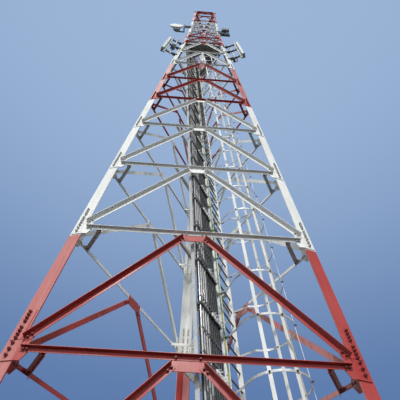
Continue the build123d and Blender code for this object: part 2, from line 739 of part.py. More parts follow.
def main():
    os.makedirs(OUT, exist_ok=True)
    a, b, c, d = BAND_COUNTS
    cut = lambda k: LEVELS[k] - JOINT_DROP - 15
    save("base_plates", base_plates())
    save("legs_red", legs(BASE_T, cut(a), LEG_W, LEG_T) + legs(cut(b), cut(c), LEG_W, LEG_T))
    save("legs_white", legs(cut(a), cut(b), LEG_W, LEG_T) + legs(cut(c), cut(d), LEG_W, LEG_T))
    save("mast_legs_red", legs(cut(d), KINK_Z, MAST_LEG_W, MAST_LEG_T))
    save("mast_legs_white", legs(KINK_Z, TOP_LEVELS[3] - 80, MAST_LEG_W, MAST_LEG_T))
    save("mast_legs_red_top", legs(TOP_LEVELS[3] - 80, TOP_Z + 60, MAST_LEG_W, MAST_LEG_T))
    save("leg_splices_red", leg_splices(LEVELS[1:a] + LEVELS[b:c]))
    save("leg_splices_white", leg_splices(LEVELS[a:b] + LEVELS[c:d]))

    diag, horiz = (DIAG_W, DIAG_T), (HORIZ_W, HORIZ_T)
    mast_bar = (MAST_DIAG_W, MAST_DIAG_T)
    names = ("front", "right", "left")
    for label, k0, k1 in (("red_lower", 0, a), ("white_lower", a, b)):
        one = bracing(LOWER, LEVELS[k0:k1 + 1], LEG_W, diag, horiz)
        for side in range(3):
            save("bracing_%s_%s" % (names[side], label), on_side(one, side))
    for label, k0, k1 in (("bracing_red_upper", b, c), ("bracing_white_upper", c, d)):
        one = bracing(LOWER, LEVELS[k0:k1 + 1], LEG_W, diag, horiz, last=k1 != d)
        save(label, [on_side(one, side) for side in range(3)])
    step = flange_out(LEG_W) - flange_out(MAST_LEG_W)
    one = bracing(LOWER, MAST_LEVELS, MAST_LEG_W, mast_bar, mast_bar, pack=step, own=BAY, last=False)
    save("mast_bracing_red", [on_side(one, side) for side in range(3)])
    own = MAST_LEVELS[-1] - MAST_LEVELS[-2]
    one = bracing(UPPER, TOP_LEVELS[:4], MAST_LEG_W, mast_bar, mast_bar, first_drop=-5.0, own=own)
    save("mast_bracing_white", [on_side(one, side) for side in range(3)])
    one = bracing(UPPER, TOP_LEVELS[3:], MAST_LEG_W, mast_bar, mast_bar, top=True)
    save("mast_bracing_red_top", [on_side(one, side) for side in range(3)])
    save("mast_top_plate", top_plate())

    for deg, label in ((LEFT, "left"), (RIGHT, "right"), (REAR, "rear")):
        save("corner_braces_" + label, corner_braces(deg, LEVELS[1:10]))
    save("ladder_beams", [beam(z, BEAM_FROM_LEG) for z in LEVELS[1:9]])
    save("ladder_brackets", ladder_brackets(LEVELS[1:9]))
    save("ladder_stiles", ladder_stiles())
    save("ladder_rungs", ladder_rungs())
    save("cage_hoops", cage_hoops())
    save("cage_straps", cage_straps())
    save("cable_rack", cable_rack())
    save("feeder_cables", feeder_cables())
    save("cable_clamps", cable_clamps())
    save("earthing_cable", earthing_cable())

    save("platform_deck", platform_deck())
    save("platform_joists", platform_joists())
    save("platform_rails", platform_rails())
    save("feeder_box", feeder_box())

    save("antenna_arms", antenna_arms())
    save("antenna_pipes", antenna_pipes())
    save("panel_antennas", panel_antennas())
    save("radio_units", radio_units())
    save("dish_antenna", dish_antenna())
    save("dish_bracket", dish_bracket())
    save("upper_boxes", upper_boxes())
    save("box_bracket", box_bracket())


if __name__ == "__main__":
    main()
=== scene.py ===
"""Finishes, fasteners and fittings of a three-legged lattice radio mast.

Metres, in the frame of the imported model: origin under the rear base plate,
+Z up the tower, -Y out of the front side.
"""

import logging
import math
from dataclasses import dataclass, field
from enum import Enum
from typing import ClassVar

import bpy
import numpy as np
from mathutils import Matrix, Vector


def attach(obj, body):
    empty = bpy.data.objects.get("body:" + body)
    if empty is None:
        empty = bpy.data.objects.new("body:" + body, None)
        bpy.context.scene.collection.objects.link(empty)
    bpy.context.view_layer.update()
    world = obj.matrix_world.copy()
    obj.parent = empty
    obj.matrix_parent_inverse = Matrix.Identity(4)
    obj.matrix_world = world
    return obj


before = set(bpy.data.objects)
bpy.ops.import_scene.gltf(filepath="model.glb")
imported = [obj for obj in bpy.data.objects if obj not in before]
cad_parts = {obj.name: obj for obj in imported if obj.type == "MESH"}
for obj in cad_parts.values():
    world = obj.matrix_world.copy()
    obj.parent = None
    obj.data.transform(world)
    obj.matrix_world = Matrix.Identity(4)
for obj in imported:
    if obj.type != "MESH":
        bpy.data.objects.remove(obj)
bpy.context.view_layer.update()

log = logging.getLogger("radio_mast")
SQ3 = math.sqrt(3.0)

# A height this close to a level counts as that level
SLACK = 0.01


# Finishes

class Finish(Enum):
    """The surfaces of the mast, with the record's slot for each."""

    RED = "red_paint"
    RED_LEG = "red_leg_paint"
    BANDED = "banded_paint"
    WHITE = "white_paint"
    ZINC = "galvanised"
    DARK = "dark_steel"
    DECK = "deck_grey"
    SHEATH = "cable"
    EARTH = "earth_cable"
    SHELL = "aerial_shell"
    CASE = "grey_shell"
    RED_BOLT = "red_bolt"
    WHITE_BOLT = "white_bolt"
    BLACK_BOLT = "black_bolt"
    BRIGHT_BOLT = "bright_bolt"
    TAPE = "black_tape"

    def slot(self) -> str:
        """The record's slot that this finish belongs to."""
        return SLOT_OF.get(self, self.value)


SLOT_OF = {
    Finish.RED_LEG: "red_paint", Finish.BANDED: "white_paint", Finish.DECK: "dark_steel",
    Finish.RED_BOLT: "red_paint", Finish.WHITE_BOLT: "white_paint", Finish.BLACK_BOLT: "dark_steel",
    Finish.BRIGHT_BOLT: "galvanised", Finish.TAPE: "cable",
}

Colour = tuple[float, float, float]
Way = tuple[float, float, float]

# Heights between which the tower is painted red
RED_BANDS = ((-0.1, 5.08), (10.33, 13.83), (17.33, 19.80), (22.72, 26.0))


class Weave:
    """A node tree under construction, of a material or of the world."""

    VARNISH_ROUGHNESS = 0.09

    def __init__(self, owner: bpy.types.Material | bpy.types.World) -> None:
        """Start with an empty tree.

        Args:
            owner: the material or the world that the tree belongs to.
        """
        owner.use_nodes = True
        self.owner = owner
        self.tree = owner.node_tree
        self.tree.nodes.clear()
        self.places = self.node("ShaderNodeTexCoord").outputs
        self.coords = self.places["Object"]

    @classmethod
    def material(cls, name: str) -> "Weave":
        """Start a new material with an empty tree."""
        return cls(bpy.data.materials.new(name))

    @staticmethod
    def socket_key(key: str) -> int | str:
        """Number of an input written as i0, i1 and so on, or else its name."""
        numbered = key[0] == "i" and key[1:].isdigit()
        return int(key[1:]) if numbered else key.replace("_", " ")

    def node(self, kind: str, settings: dict[str, str] | None = None, **inputs: object) -> bpy.types.Node:
        """Add a node, then link or set its inputs.

        Args:
            kind: class name of the node.
            settings: properties of the node itself.
            **inputs: values or sockets, by name with _ for a space, or by number.

        Returns:
            The new node.
        """
        made = self.tree.nodes.new(kind)
        for key, value in (settings or {}).items():
            setattr(made, key, value)
        for key, value in inputs.items():
            self.feed(made.inputs[self.socket_key(key)], value)
        return made

    def feed(self, socket: bpy.types.NodeSocket, value: object) -> None:
        """Link an input, or set it.

        Args:
            socket: the input.
            value: a socket, a number, a vector or a colour.
        """
        if isinstance(value, bpy.types.NodeSocket):
            self.tree.links.new(value, socket)
        elif socket.type == "RGBA" and len(value) == 3:
            socket.default_value = (*value, 1.0)
        else:
            socket.default_value = value

    def height(self) -> bpy.types.NodeSocket:
        """Height above the footings."""
        return self.node("ShaderNodeSeparateXYZ", Vector=self.coords).outputs[2]

    def reach(self, vector: bpy.types.NodeSocket, way: Way) -> bpy.types.NodeSocket:
        """How far a vector goes a certain way."""
        made = self.node("ShaderNodeVectorMath", {"operation": "DOT_PRODUCT"}, i0=vector, i1=way)
        return made.outputs["Value"]

    def facing(self, way: Way) -> bpy.types.NodeSocket:
        """How squarely the surface faces a certain way, from -1 to 1."""
        return self.reach(self.node("ShaderNodeNewGeometry").outputs["Normal"], way)

    def stretched(self, scale: tuple[float, float, float]) -> bpy.types.NodeSocket:
        """Object coordinates, scaled along x, y and z."""
        return self.node("ShaderNodeMapping", Vector=self.coords, Scale=scale).outputs[0]

    def noise(self, scale: float, detail: float = 3.0, rough: float = 0.55,
              at: bpy.types.NodeSocket | None = None) -> bpy.types.NodeSocket:
        """Noise between 0 and 1.

        Args:
            scale: cells per metre.
            detail: octaves.
            rough: weight of the fine octaves.
            at: coordinates, object coordinates if left out.

        Returns:
            The noise value.
        """
        made = self.node("ShaderNodeTexNoise", Vector=at or self.coords, Scale=scale, Detail=detail,
                         Roughness=rough)
        return made.outputs["Fac"]

    def ramp(self, value: bpy.types.NodeSocket, low: float, high: float, to_low: float = 0.0,
             to_high: float = 1.0) -> bpy.types.NodeSocket:
        """Map a value smoothly from one range to another.

        Args:
            value: the value to map.
            low: start of the range.
            high: end of the range.
            to_low: result at the start.
            to_high: result at the end.

        Returns:
            The mapped value.
        """
        smooth = {"interpolation_type": "SMOOTHSTEP"}
        made = self.node("ShaderNodeMapRange", smooth, Value=value, From_Min=low, From_Max=high,
                         To_Min=to_low, To_Max=to_high)
        return made.outputs[0]

    def math(self, operation: str, a: object, b: object = 0.0) -> bpy.types.NodeSocket:
        """Result of one arithmetic step on two values or sockets."""
        return self.node("ShaderNodeMath", {"operation": operation}, i0=a, i1=b).outputs[0]

    def mix(self, share: object, a: object, b: object) -> bpy.types.NodeSocket:
        """Colour between a and b, with the given share of b."""
        return self.node("ShaderNodeMix", {"data_type": "RGBA"}, Factor=share, i6=a, i7=b).outputs[2]

    def close(self, colour: object, roughness: object, height: bpy.types.NodeSocket | None = None,
              lift: float = 0.0, metal: float = 0.0, varnish: float = 0.0) -> bpy.types.Material:
        """Finish the material with one surface shader.

        Args:
            colour: base colour or socket.
            roughness: roughness or socket.
            height: bump height between 0 and 1.
            lift: depth of the bump in metres.
            metal: metallic share.
            varnish: weight of a smooth skin over the surface.

        Returns:
            The finished material.
        """
        skin = self.node("ShaderNodeBsdfPrincipled", Base_Color=colour, Roughness=roughness, Metallic=metal,
                         Coat_Weight=varnish, Coat_Roughness=self.VARNISH_ROUGHNESS)
        if height is not None:
            bump = self.node("ShaderNodeBump", Height=height, Distance=lift, Strength=1.0)
            self.tree.links.new(bump.outputs[0], skin.inputs["Normal"])
        self.node("ShaderNodeOutputMaterial", Surface=skin.outputs[0])
        return self.owner


@dataclass(frozen=True)
class Wear:
    """What rain, brush marks and chips do to a coat of paint."""

    chips: float = 0.66
    gloss: float = 0.36
    rust: Colour = (0.16, 0.055, 0.025)
    chip_edge: float = 0.035
    roughening: float = 0.22
    grime_share: float = 0.30
    rain_grain: Way = (34.0, 34.0, 1.1)
    brush_grain: Way = (140.0, 140.0, 7.0)
    lift: float = 0.0002

    def fields(self, w: Weave) -> bpy.types.NodeSocket:
        """Large chalky fields, between 0 and 1."""
        return w.ramp(w.noise(1.3, 2.0), 0.35, 0.68)

    def coat(self, w: Weave, base: bpy.types.NodeSocket, fields: bpy.types.NodeSocket,
             grime: object) -> bpy.types.Material:
        """Weather a colour and close the material.

        Args:
            w: the material under construction.
            base: the clean colour.
            fields: chalky fields, between 0 and 1.
            grime: colour or socket of the rain streaks.

        Returns:
            The material.
        """
        streaks = w.ramp(w.noise(1.0, 4.0, at=w.stretched(self.rain_grain)), 0.42, 0.72)
        brush = w.noise(1.0, 2.0, at=w.stretched(self.brush_grain))
        base = w.mix(w.math("MULTIPLY", streaks, self.grime_share), base, grime)
        spots = w.ramp(w.noise(52.0, 5.0, 0.6), self.chips, self.chips + self.chip_edge)
        worn = w.ramp(w.noise(4.0, 2.0), 0.42, 0.62)
        chips = w.math("MULTIPLY", spots, worn)
        base = w.mix(chips, base, self.rust)
        grain = w.math("ADD", w.math("MULTIPLY", fields, 0.5), w.math("MULTIPLY", brush, 0.5))
        rough = w.ramp(grain, 0.1, 0.9, self.gloss, self.gloss + self.roughening)
        raised = w.math("ADD", w.math("MULTIPLY", brush, 0.5), w.noise(220.0, 2.0))
        return w.close(base, rough, w.math("SUBTRACT", raised, chips), self.lift)


@dataclass(frozen=True)
class WeatheredPaint:
    """Brushed paint on galvanised angle steel, chalked by the sun, with painted sheen on one side and higher
    up.
    """

    name: str
    colour: Colour
    chalk: Colour
    grime: Colour
    wear: Wear = Wear()
    # Painted sheen: how pale one side and the top are drawn, its colour and the side it faces
    side_sheen: float = 0.0
    top_sheen: float = 0.0
    chalk_share: float = 0.35
    sheen_colour: Colour = (0.72, 0.44, 0.41)
    sheen_side: Way = (-0.86, -0.51, 0.0)

    def faded(self, w: Weave) -> bpy.types.NodeSocket:
        """Painted sheen: how much paler the paint is drawn on one side and higher up, standing in for glare
        off the flanges.

        Args:
            w: the material under construction.

        Returns:
            Share between 0 and 1.
        """
        facing = w.facing(self.sheen_side)
        side = w.ramp(facing, 0.55, 0.80, 0.0, self.side_sheen)
        raised = w.ramp(w.height(), 4.0, 13.0, 0.0, self.top_sheen)
        lit = w.ramp(facing, 0.0, 0.7, 0.30, 1.0)
        return w.math("ADD", side, w.math("MULTIPLY", raised, lit))

    def material(self) -> bpy.types.Material:
        """Build the paint: chalky fields, painted sheen on one side and higher up, then its wear.

        Returns:
            The material.
        """
        w = Weave.material(self.name)
        fields = self.wear.fields(w)
        base = w.mix(w.math("MULTIPLY", fields, self.chalk_share), self.colour, self.chalk)
        # Painted sheen: paler paint on one side and higher up, standing in for glare
        if self.side_sheen:
            base = w.mix(self.faded(w), base, self.sheen_colour)
        return self.wear.coat(w, base, fields, self.grime)


@dataclass(frozen=True)
class BandedPaint:
    """White paint that turns red in the red bands of the tower."""

    name: str
    white: Colour
    white_grime: Colour
    red: Colour
    red_grime: Colour
    wear: Wear

    def material(self) -> bpy.types.Material:
        """Build the paint with its colour by height.

        Returns:
            The material.
        """
        w = Weave.material(self.name)
        height = w.height()
        share = 0.0
        for low, high in RED_BANDS:
            above = w.math("GREATER_THAN", height, low)
            below = w.math("LESS_THAN", height, high)
            share = w.math("ADD", w.math("MULTIPLY", above, below), share)
        base = w.mix(share, self.white, self.red)
        return self.wear.coat(w, base, self.wear.fields(w), w.mix(share, self.white_grime, self.red_grime))


@dataclass(frozen=True)
class ZincCoat:
    """Hot dip galvanising with its spangle, gone dull."""

    name: str
    light: Colour
    dull: Colour
    metal: float = 0.35
    gloss: float = 0.42
    stain: Colour = (0.12, 0.10, 0.08)
    spangles: float = 95.0
    lift: float = 0.00012

    def material(self) -> bpy.types.Material:
        """Build the zinc: spangle cells, dull patches and runs.

        Returns:
            The material.
        """
        w = Weave.material(self.name)
        cells = w.node("ShaderNodeTexVoronoi", Vector=w.coords, Scale=self.spangles)
        tone = w.node("ShaderNodeSeparateColor", Color=cells.outputs["Color"]).outputs[0]
        patches = w.ramp(w.noise(6.0, 4.0), 0.35, 0.7)
        share = w.math("ADD", w.math("MULTIPLY", tone, 0.35), w.math("MULTIPLY", patches, 0.65))
        runs = w.ramp(w.noise(1.0, 3.0, at=w.stretched((45.0, 45.0, 2.2))), 0.55, 0.8)
        base = w.mix(share, self.light, self.dull)
        base = w.mix(w.math("MULTIPLY", runs, 0.45), base, self.stain)
        rough = w.ramp(share, 0.0, 1.0, self.gloss, self.gloss + 0.25)
        return w.close(base, rough, w.math("ADD", tone, w.noise(260.0, 2.0)), self.lift, self.metal)


@dataclass(frozen=True)
class DarkCoat:
    """Dark bare or painted steel with dust on it."""

    name: str
    colour: Colour
    dust: Colour
    gloss: float = 0.45
    rust: Colour = (0.10, 0.040, 0.020)
    lift: float = 0.0003

    def material(self) -> bpy.types.Material:
        """Build the coat: worn patches, dust and rust freckles.

        Returns:
            The material.
        """
        w = Weave.material(self.name)
        dust = w.ramp(w.noise(9.0, 4.0), 0.42, 0.75)
        freckles = w.ramp(w.noise(85.0, 4.0), 0.62, 0.70)
        base = w.mix(w.math("MULTIPLY", dust, 0.4), self.colour, self.dust)
        base = w.mix(w.math("MULTIPLY", freckles, 0.5), base, self.rust)
        rough = w.ramp(dust, 0.0, 1.0, self.gloss, self.gloss + 0.3)
        return w.close(base, rough, w.noise(240.0, 3.0), self.lift)


@dataclass(frozen=True)
class CableSheath:
    """Black sheath of a feeder cable, with faint rings of its corrugated core."""

    name: str
    colour: Colour
    gloss: float = 0.38
    varnish: float = 0.5
    dust: Colour = (0.10, 0.10, 0.10)
    dust_share: float = 0.12
    rings: float = 18.0
    lift: float = 0.00002
    # Colour and facing side of the painted highlight on the outer cables
    highlight_colour: Colour = (0.46, 0.47, 0.48)
    highlight_side: Way = (0.17, -0.985, 0.0)

    def painted_highlight(self, w: Weave) -> bpy.types.NodeSocket:
        """Painted highlight: a pale strip, standing in for the sun's glint, on the side of the outer cables
        that faces the sun.

        Args:
            w: the material under construction.

        Returns:
            Share between 0 and 1.
        """
        rack = LADDER.stand(0.0)
        last = LADDER.cable_x()[LADDER.outer_cables - 1]
        edge = rack.at.dot(rack.x) + last + LADDER.cable_pitch / 2
        outer = w.math("LESS_THAN", w.reach(w.coords, tuple(rack.x)), edge)
        strip = w.ramp(w.facing(self.highlight_side), 0.93, 0.965)
        patchy = w.ramp(w.noise(1.0, 2.0, at=w.stretched((9.0, 9.0, 0.6))), 0.25, 0.55, 0.55, 1.0)
        return w.math("MULTIPLY", w.math("MULTIPLY", strip, outer), patchy)

    def material(self) -> bpy.types.Material:
        """Build the sheath: dust, scuffs along the cable, a painted highlight on one side and faint rings.

        Returns:
            The material.
        """
        w = Weave.material(self.name)
        dust = w.ramp(w.noise(1.0, 4.0, at=w.stretched((60.0, 60.0, 3.0))), 0.45, 0.85)
        base = w.mix(w.math("MULTIPLY", dust, self.dust_share), self.colour, self.dust)
        # Painted highlight: pale strip standing in for the sun's glint on the outer cables
        base = w.mix(self.painted_highlight(w), base, self.highlight_colour)
        rings = w.node("ShaderNodeTexWave", {"bands_direction": "Z"}, Vector=w.coords, Scale=self.rings,
                       Distortion=0.4).outputs["Fac"]
        rough = w.ramp(dust, 0.0, 1.0, self.gloss, self.gloss + 0.2)
        height = w.math("ADD", w.math("MULTIPLY", rings, 0.5), w.noise(120.0, 2.0))
        return w.close(base, rough, height, self.lift, varnish=self.varnish)


@dataclass(frozen=True)
class StripedSheath:
    """Green sheath with a yellow stripe that winds round it."""

    name: str
    green: Colour = (0.045, 0.17, 0.025)
    yellow: Colour = (0.34, 0.36, 0.045)
    turns: float = 2.4
    dust: Colour = (0.17, 0.18, 0.14)
    lift: float = 0.0002

    def material(self) -> bpy.types.Material:
        """Build the two-coloured sheath from the direction the surface faces.

        Returns:
            The material.
        """
        w = Weave.material(self.name)
        facing = w.node("ShaderNodeNewGeometry").outputs["Normal"]
        parts = w.node("ShaderNodeSeparateXYZ", Vector=facing)
        angle = w.math("ARCTAN2", parts.outputs[1], parts.outputs[0])
        turn = w.math("ADD", w.math("DIVIDE", angle, 2 * math.pi), w.math("MULTIPLY", w.height(), self.turns))
        stripe = w.ramp(w.math("PINGPONG", turn, 0.5), 0.31, 0.34)
        dust = w.ramp(w.noise(30.0, 4.0), 0.4, 0.8)
        base = w.mix(stripe, self.green, self.yellow)
        base = w.mix(w.math("MULTIPLY", dust, 0.4), base, self.dust)
        return w.close(base, w.ramp(dust, 0.0, 1.0, 0.35, 0.6), w.noise(200.0, 2.0), self.lift)


@dataclass(frozen=True)
class MouldedShell:
    """Moulded or powder coated shell, streaked below its edges."""

    name: str
    colour: Colour
    stain: Colour
    gloss: float = 0.38
    faded: float = 0.82
    lift: float = 0.00025

    def material(self) -> bpy.types.Material:
        """Build the shell: fine grain, faded fields and rain streaks.

        Returns:
            The material.
        """
        w = Weave.material(self.name)
        faded = w.ramp(w.noise(3.0, 3.0), 0.35, 0.7)
        streaks = w.ramp(w.noise(1.0, 4.0, at=w.stretched((26.0, 26.0, 1.5))), 0.5, 0.78)
        pale = tuple(c * self.faded for c in self.colour)
        base = w.mix(w.math("MULTIPLY", faded, 0.25), self.colour, pale)
        base = w.mix(w.math("MULTIPLY", streaks, 0.45), base, self.stain)
        rough = w.ramp(faded, 0.0, 1.0, self.gloss, self.gloss + 0.2)
        return w.close(base, rough, w.noise(420.0, 3.0), self.lift)


Recipe = WeatheredPaint | BandedPaint | ZincCoat | DarkCoat | CableSheath | StripedSheath | MouldedShell


@dataclass
class PaintShop:
    """Makes each finish once and puts it on the pieces."""

    made: dict[Finish, bpy.types.Material] = field(default_factory=dict)

    RECIPES: ClassVar[dict[Finish, Recipe]] = {
        # Both reds carry a painted sheen on one side; the legs' red also higher up
        Finish.RED: WeatheredPaint(
            "red_paint", (0.37, 0.030, 0.027), (0.42, 0.052, 0.044), (0.16, 0.020, 0.017), side_sheen=0.50),
        Finish.RED_LEG: WeatheredPaint(
            "red_leg_paint", (0.40, 0.038, 0.035), (0.46, 0.075, 0.066), (0.24, 0.033, 0.028),
            side_sheen=0.50, top_sheen=0.60),
        Finish.WHITE: WeatheredPaint(
            "white_paint", (0.77, 0.78, 0.76), (0.82, 0.83, 0.82), (0.52, 0.53, 0.49), Wear(0.69, 0.42)),
        Finish.BANDED: BandedPaint(
            "banded_paint", (0.70, 0.71, 0.69), (0.40, 0.40, 0.37),
            (0.34, 0.028, 0.025), (0.15, 0.018, 0.016), Wear(0.69)),
        Finish.ZINC: ZincCoat("galvanised", (0.62, 0.64, 0.65), (0.38, 0.40, 0.41)),
        Finish.DARK: DarkCoat("dark_steel", (0.045, 0.046, 0.045), (0.16, 0.16, 0.15)),
        Finish.DECK: DarkCoat("deck_grey", (0.27, 0.29, 0.27), (0.36, 0.37, 0.34)),
        Finish.SHEATH: CableSheath("cable", (0.008, 0.008, 0.009), 0.20),
        Finish.EARTH: StripedSheath("earth_cable"),
        Finish.SHELL: MouldedShell("aerial_shell", (0.72, 0.74, 0.73), (0.36, 0.37, 0.34)),
        Finish.CASE: MouldedShell("grey_shell", (0.17, 0.185, 0.18), (0.08, 0.085, 0.08)),
        Finish.RED_BOLT: WeatheredPaint(
            "red_bolt", (0.16, 0.018, 0.015), (0.24, 0.045, 0.036), (0.05, 0.012, 0.010), Wear(0.60)),
        Finish.WHITE_BOLT: WeatheredPaint(
            "white_bolt", (0.40, 0.41, 0.39), (0.52, 0.53, 0.51), (0.20, 0.20, 0.18), Wear(0.60)),
        Finish.BLACK_BOLT: DarkCoat("black_bolt", (0.022, 0.020, 0.020), (0.075, 0.070, 0.065)),
        Finish.BRIGHT_BOLT: ZincCoat("bright_bolt", (0.84, 0.85, 0.86), (0.62, 0.63, 0.64), 0.15, 0.30),
        Finish.TAPE: CableSheath("black_tape", (0.012, 0.012, 0.013), 0.30),
    }

    NODES: ClassVar[dict[Finish, tuple[str, ...]]] = {
        Finish.RED: (
            "bracing_front_red_lower", "bracing_right_red_lower", "bracing_left_red_lower",
            "bracing_red_upper", "mast_bracing_red", "mast_bracing_red_top", "mast_top_plate"),
        Finish.RED_LEG: ("legs_red", "mast_legs_red", "mast_legs_red_top", "leg_splices_red"),
        Finish.BANDED: ("corner_braces_left", "corner_braces_right", "corner_braces_rear"),
        Finish.WHITE: (
            "legs_white", "mast_legs_white", "leg_splices_white", "bracing_front_white_lower",
            "bracing_right_white_lower", "bracing_left_white_lower", "bracing_white_upper",
            "mast_bracing_white", "ladder_beams", "ladder_stiles", "cage_straps"),
        Finish.ZINC: (
            "base_plates", "ladder_brackets", "cage_hoops", "cable_rack", "platform_rails", "antenna_pipes"),
        Finish.DARK: ("ladder_rungs", "cable_clamps", "antenna_arms", "dish_bracket", "box_bracket"),
        Finish.DECK: ("platform_deck", "platform_joists"),
        Finish.SHEATH: ("feeder_cables",),
        Finish.EARTH: ("earthing_cable",),
        Finish.SHELL: ("panel_antennas", "dish_antenna"),
        Finish.CASE: ("radio_units", "upper_boxes", "feeder_box"),
    }

    def material(self, finish: Finish) -> bpy.types.Material:
        """The material of a finish, made the first time it is asked for.

        Args:
            finish: which finish.

        Returns:
            Its material.
        """
        if finish not in self.made:
            self.made[finish] = self.RECIPES[finish].material()
        return self.made[finish]

    def dress(self, obj: bpy.types.Object, finish: Finish) -> None:
        """Give a piece its finish; its slot is looked up but not kept.

        Args:
            obj: the piece.
            finish: which finish.
        """
        obj.data.materials.clear()
        obj.data.materials.append(self.material(finish))
        finish.slot()

    def dress_cad(self) -> None:
        """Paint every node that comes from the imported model."""
        for finish, names in self.NODES.items():
            for name in names:
                self.dress(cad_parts[name], finish)
        log.info("painted %d nodes of the packed model", sum(len(n) for n in self.NODES.values()))


# Tower outline

@dataclass(frozen=True)
class TowerOutline:
    """Sizes of the tower that every fitting is placed by."""

    base_side: float = 3.767
    deck_side: float = 1.725
    first_level: float = 1.700
    bay: float = 1.750
    bays: int = 10
    kink_z: float = 19.800
    top_z: float = 25.800
    top_taper: float = 0.040
    axis_back: float = 2.105
    leg_bend: float = 15.0
    leg_w: float = 0.155
    leg_t: float = 0.014
    mast_leg_w: float = 0.110
    mast_leg_t: float = 0.010
    plate_t: float = 0.010
    levels_above: tuple[float, ...] = (18.625, 19.8, 20.8, 21.8, 22.8, 24.3, 25.8)
    leg_change: float = 0.12
    just_above: float = 0.05

    def deck_z(self) -> float:
        """Height of the deck level."""
        return self.first_level + self.bay * (self.bays - 1)

    def taper(self) -> float:
        """Loss of leg spacing per metre of height, up to the kink."""
        return (self.base_side - self.deck_side) / self.deck_z()

    def spacing(self, z: float) -> float:
        """Leg spacing at a height.

        Args:
            z: height.

        Returns:
            Distance between two heels.
        """
        if z <= self.kink_z:
            return self.base_side - self.taper() * z
        return self.base_side - self.taper() * self.kink_z - self.top_taper * (z - self.kink_z)

    def levels(self) -> list[float]:
        """Heights of the horizontals below and at the deck."""
        return [self.first_level + self.bay * i for i in range(self.bays)]

    def mast_levels(self) -> list[float]:
        """Heights of the horizontals above the deck."""
        return list(self.levels_above)

    def heel(self, deg: float, z: float) -> Vector:
        """Outer corner of the leg in direction deg, at height z."""
        r = self.spacing(z) / SQ3
        return Vector((r * cosd(deg), r * sind(deg) - self.axis_back, z))

    def has_wide_legs(self, z: float) -> bool:
        """Whether the legs have the width of the lower tower at a height."""
        return z < self.deck_z() - self.leg_change

    def leg_width(self, z: float) -> float:
        """Width of a leg flange at a height."""
        return self.leg_w if self.has_wide_legs(z) else self.mast_leg_w

    def flange_out(self, z: float) -> float:
        """How far the edge of a leg flange stands out of the flat side."""
        return self.leg_width(z) * sind(self.leg_bend)

    def is_red(self, z: float) -> bool:
        """Whether the paint is red at a height."""
        return any(low < z < high for low, high in RED_BANDS)

    def is_red_above(self, z: float) -> bool:
        """Whether the paint is red just above a level."""
        return self.is_red(z + self.just_above)


def cosd(deg: float) -> float:
    """Cosine of an angle in degrees."""
    return math.cos(math.radians(deg))


def sind(deg: float) -> float:
    """Sine of an angle in degrees."""
    return math.sin(math.radians(deg))


def plan(deg: float) -> Vector:
    """Level unit vector in direction deg."""
    return Vector((cosd(deg), sind(deg), 0.0))


TOWER = TowerOutline()
LEFT, RIGHT, REAR = 210.0, 330.0, 90.0
CORNERS = (LEFT, RIGHT, REAR)


@dataclass(frozen=True)
class Stand:
    """A place with three unit vectors, z out of the surface."""

    at: Vector
    x: Vector
    y: Vector
    z: Vector

    def point(self, x: float, y: float, z: float) -> Vector:
        """Row coordinates of a local point."""
        return self.at + self.x * x + self.y * y + self.z * z

    def moved(self, x: float, y: float, z: float = 0.0) -> "Stand":
        """The same axes at another local point."""
        return Stand(self.point(x, y, z), self.x, self.y, self.z)

    def flipped(self) -> "Stand":
        """The same place, facing the other way."""
        return Stand(self.at, self.x, -self.y, -self.z)

    def turned(self, deg: float) -> "Stand":
        """The same place, turned about z by deg."""
        c, s = cosd(deg), sind(deg)
        return Stand(self.at, self.x * c + self.y * s, self.y * c - self.x * s, self.z)


def side_stand(side: int, z: float) -> Stand:
    """Flat side of the tower at a level: x along it, y up it, z out of it.

    Args:
        side: 0 front, 1 right, 2 left.
        z: height of the level.

    Returns:
        The stand in the middle of the level, in the plane of the heels.
    """
    taper = TOWER.taper() if z < TOWER.kink_z + SLACK else TOWER.top_taper
    lean = taper / (2 * SQ3)
    norm = math.sqrt(1 + lean * lean)
    turn = Matrix.Rotation(math.radians(120 * side), 3, "Z")
    at = turn @ Vector((0.0, -TOWER.spacing(z) / (2 * SQ3), z))
    at.y -= TOWER.axis_back
    x, y, z_out = Vector((1, 0, 0)), Vector((0, lean, 1)) / norm, Vector((0, -1, lean)) / norm
    return Stand(at, turn @ x, turn @ y, turn @ z_out)


def flange_stand(deg: float, flange: int, z: float) -> Stand:
    """Outside of a leg flange: x from the heel to its edge, y up, z out.

    Args:
        deg: direction of the leg.
        flange: 0 or 1.
        z: height.

    Returns:
        The stand at the heel.
    """
    if flange == 0:
        along, out = plan(deg - LEFT - TOWER.leg_bend), plan(deg - LEFT - TOWER.leg_bend - 90)
    else:
        along, out = plan(deg - LEFT + 60 + TOWER.leg_bend), plan(deg - LEFT + 150 + TOWER.leg_bend)
    at = TOWER.heel(deg, z)
    up = (TOWER.heel(deg, z + 0.5) - TOWER.heel(deg, z - 0.5)).normalized()
    out = (out - up * out.dot(up)).normalized()
    along = up.cross(out) if up.cross(out).dot(along) > 0 else out.cross(up)
    return Stand(at, along, up, out)


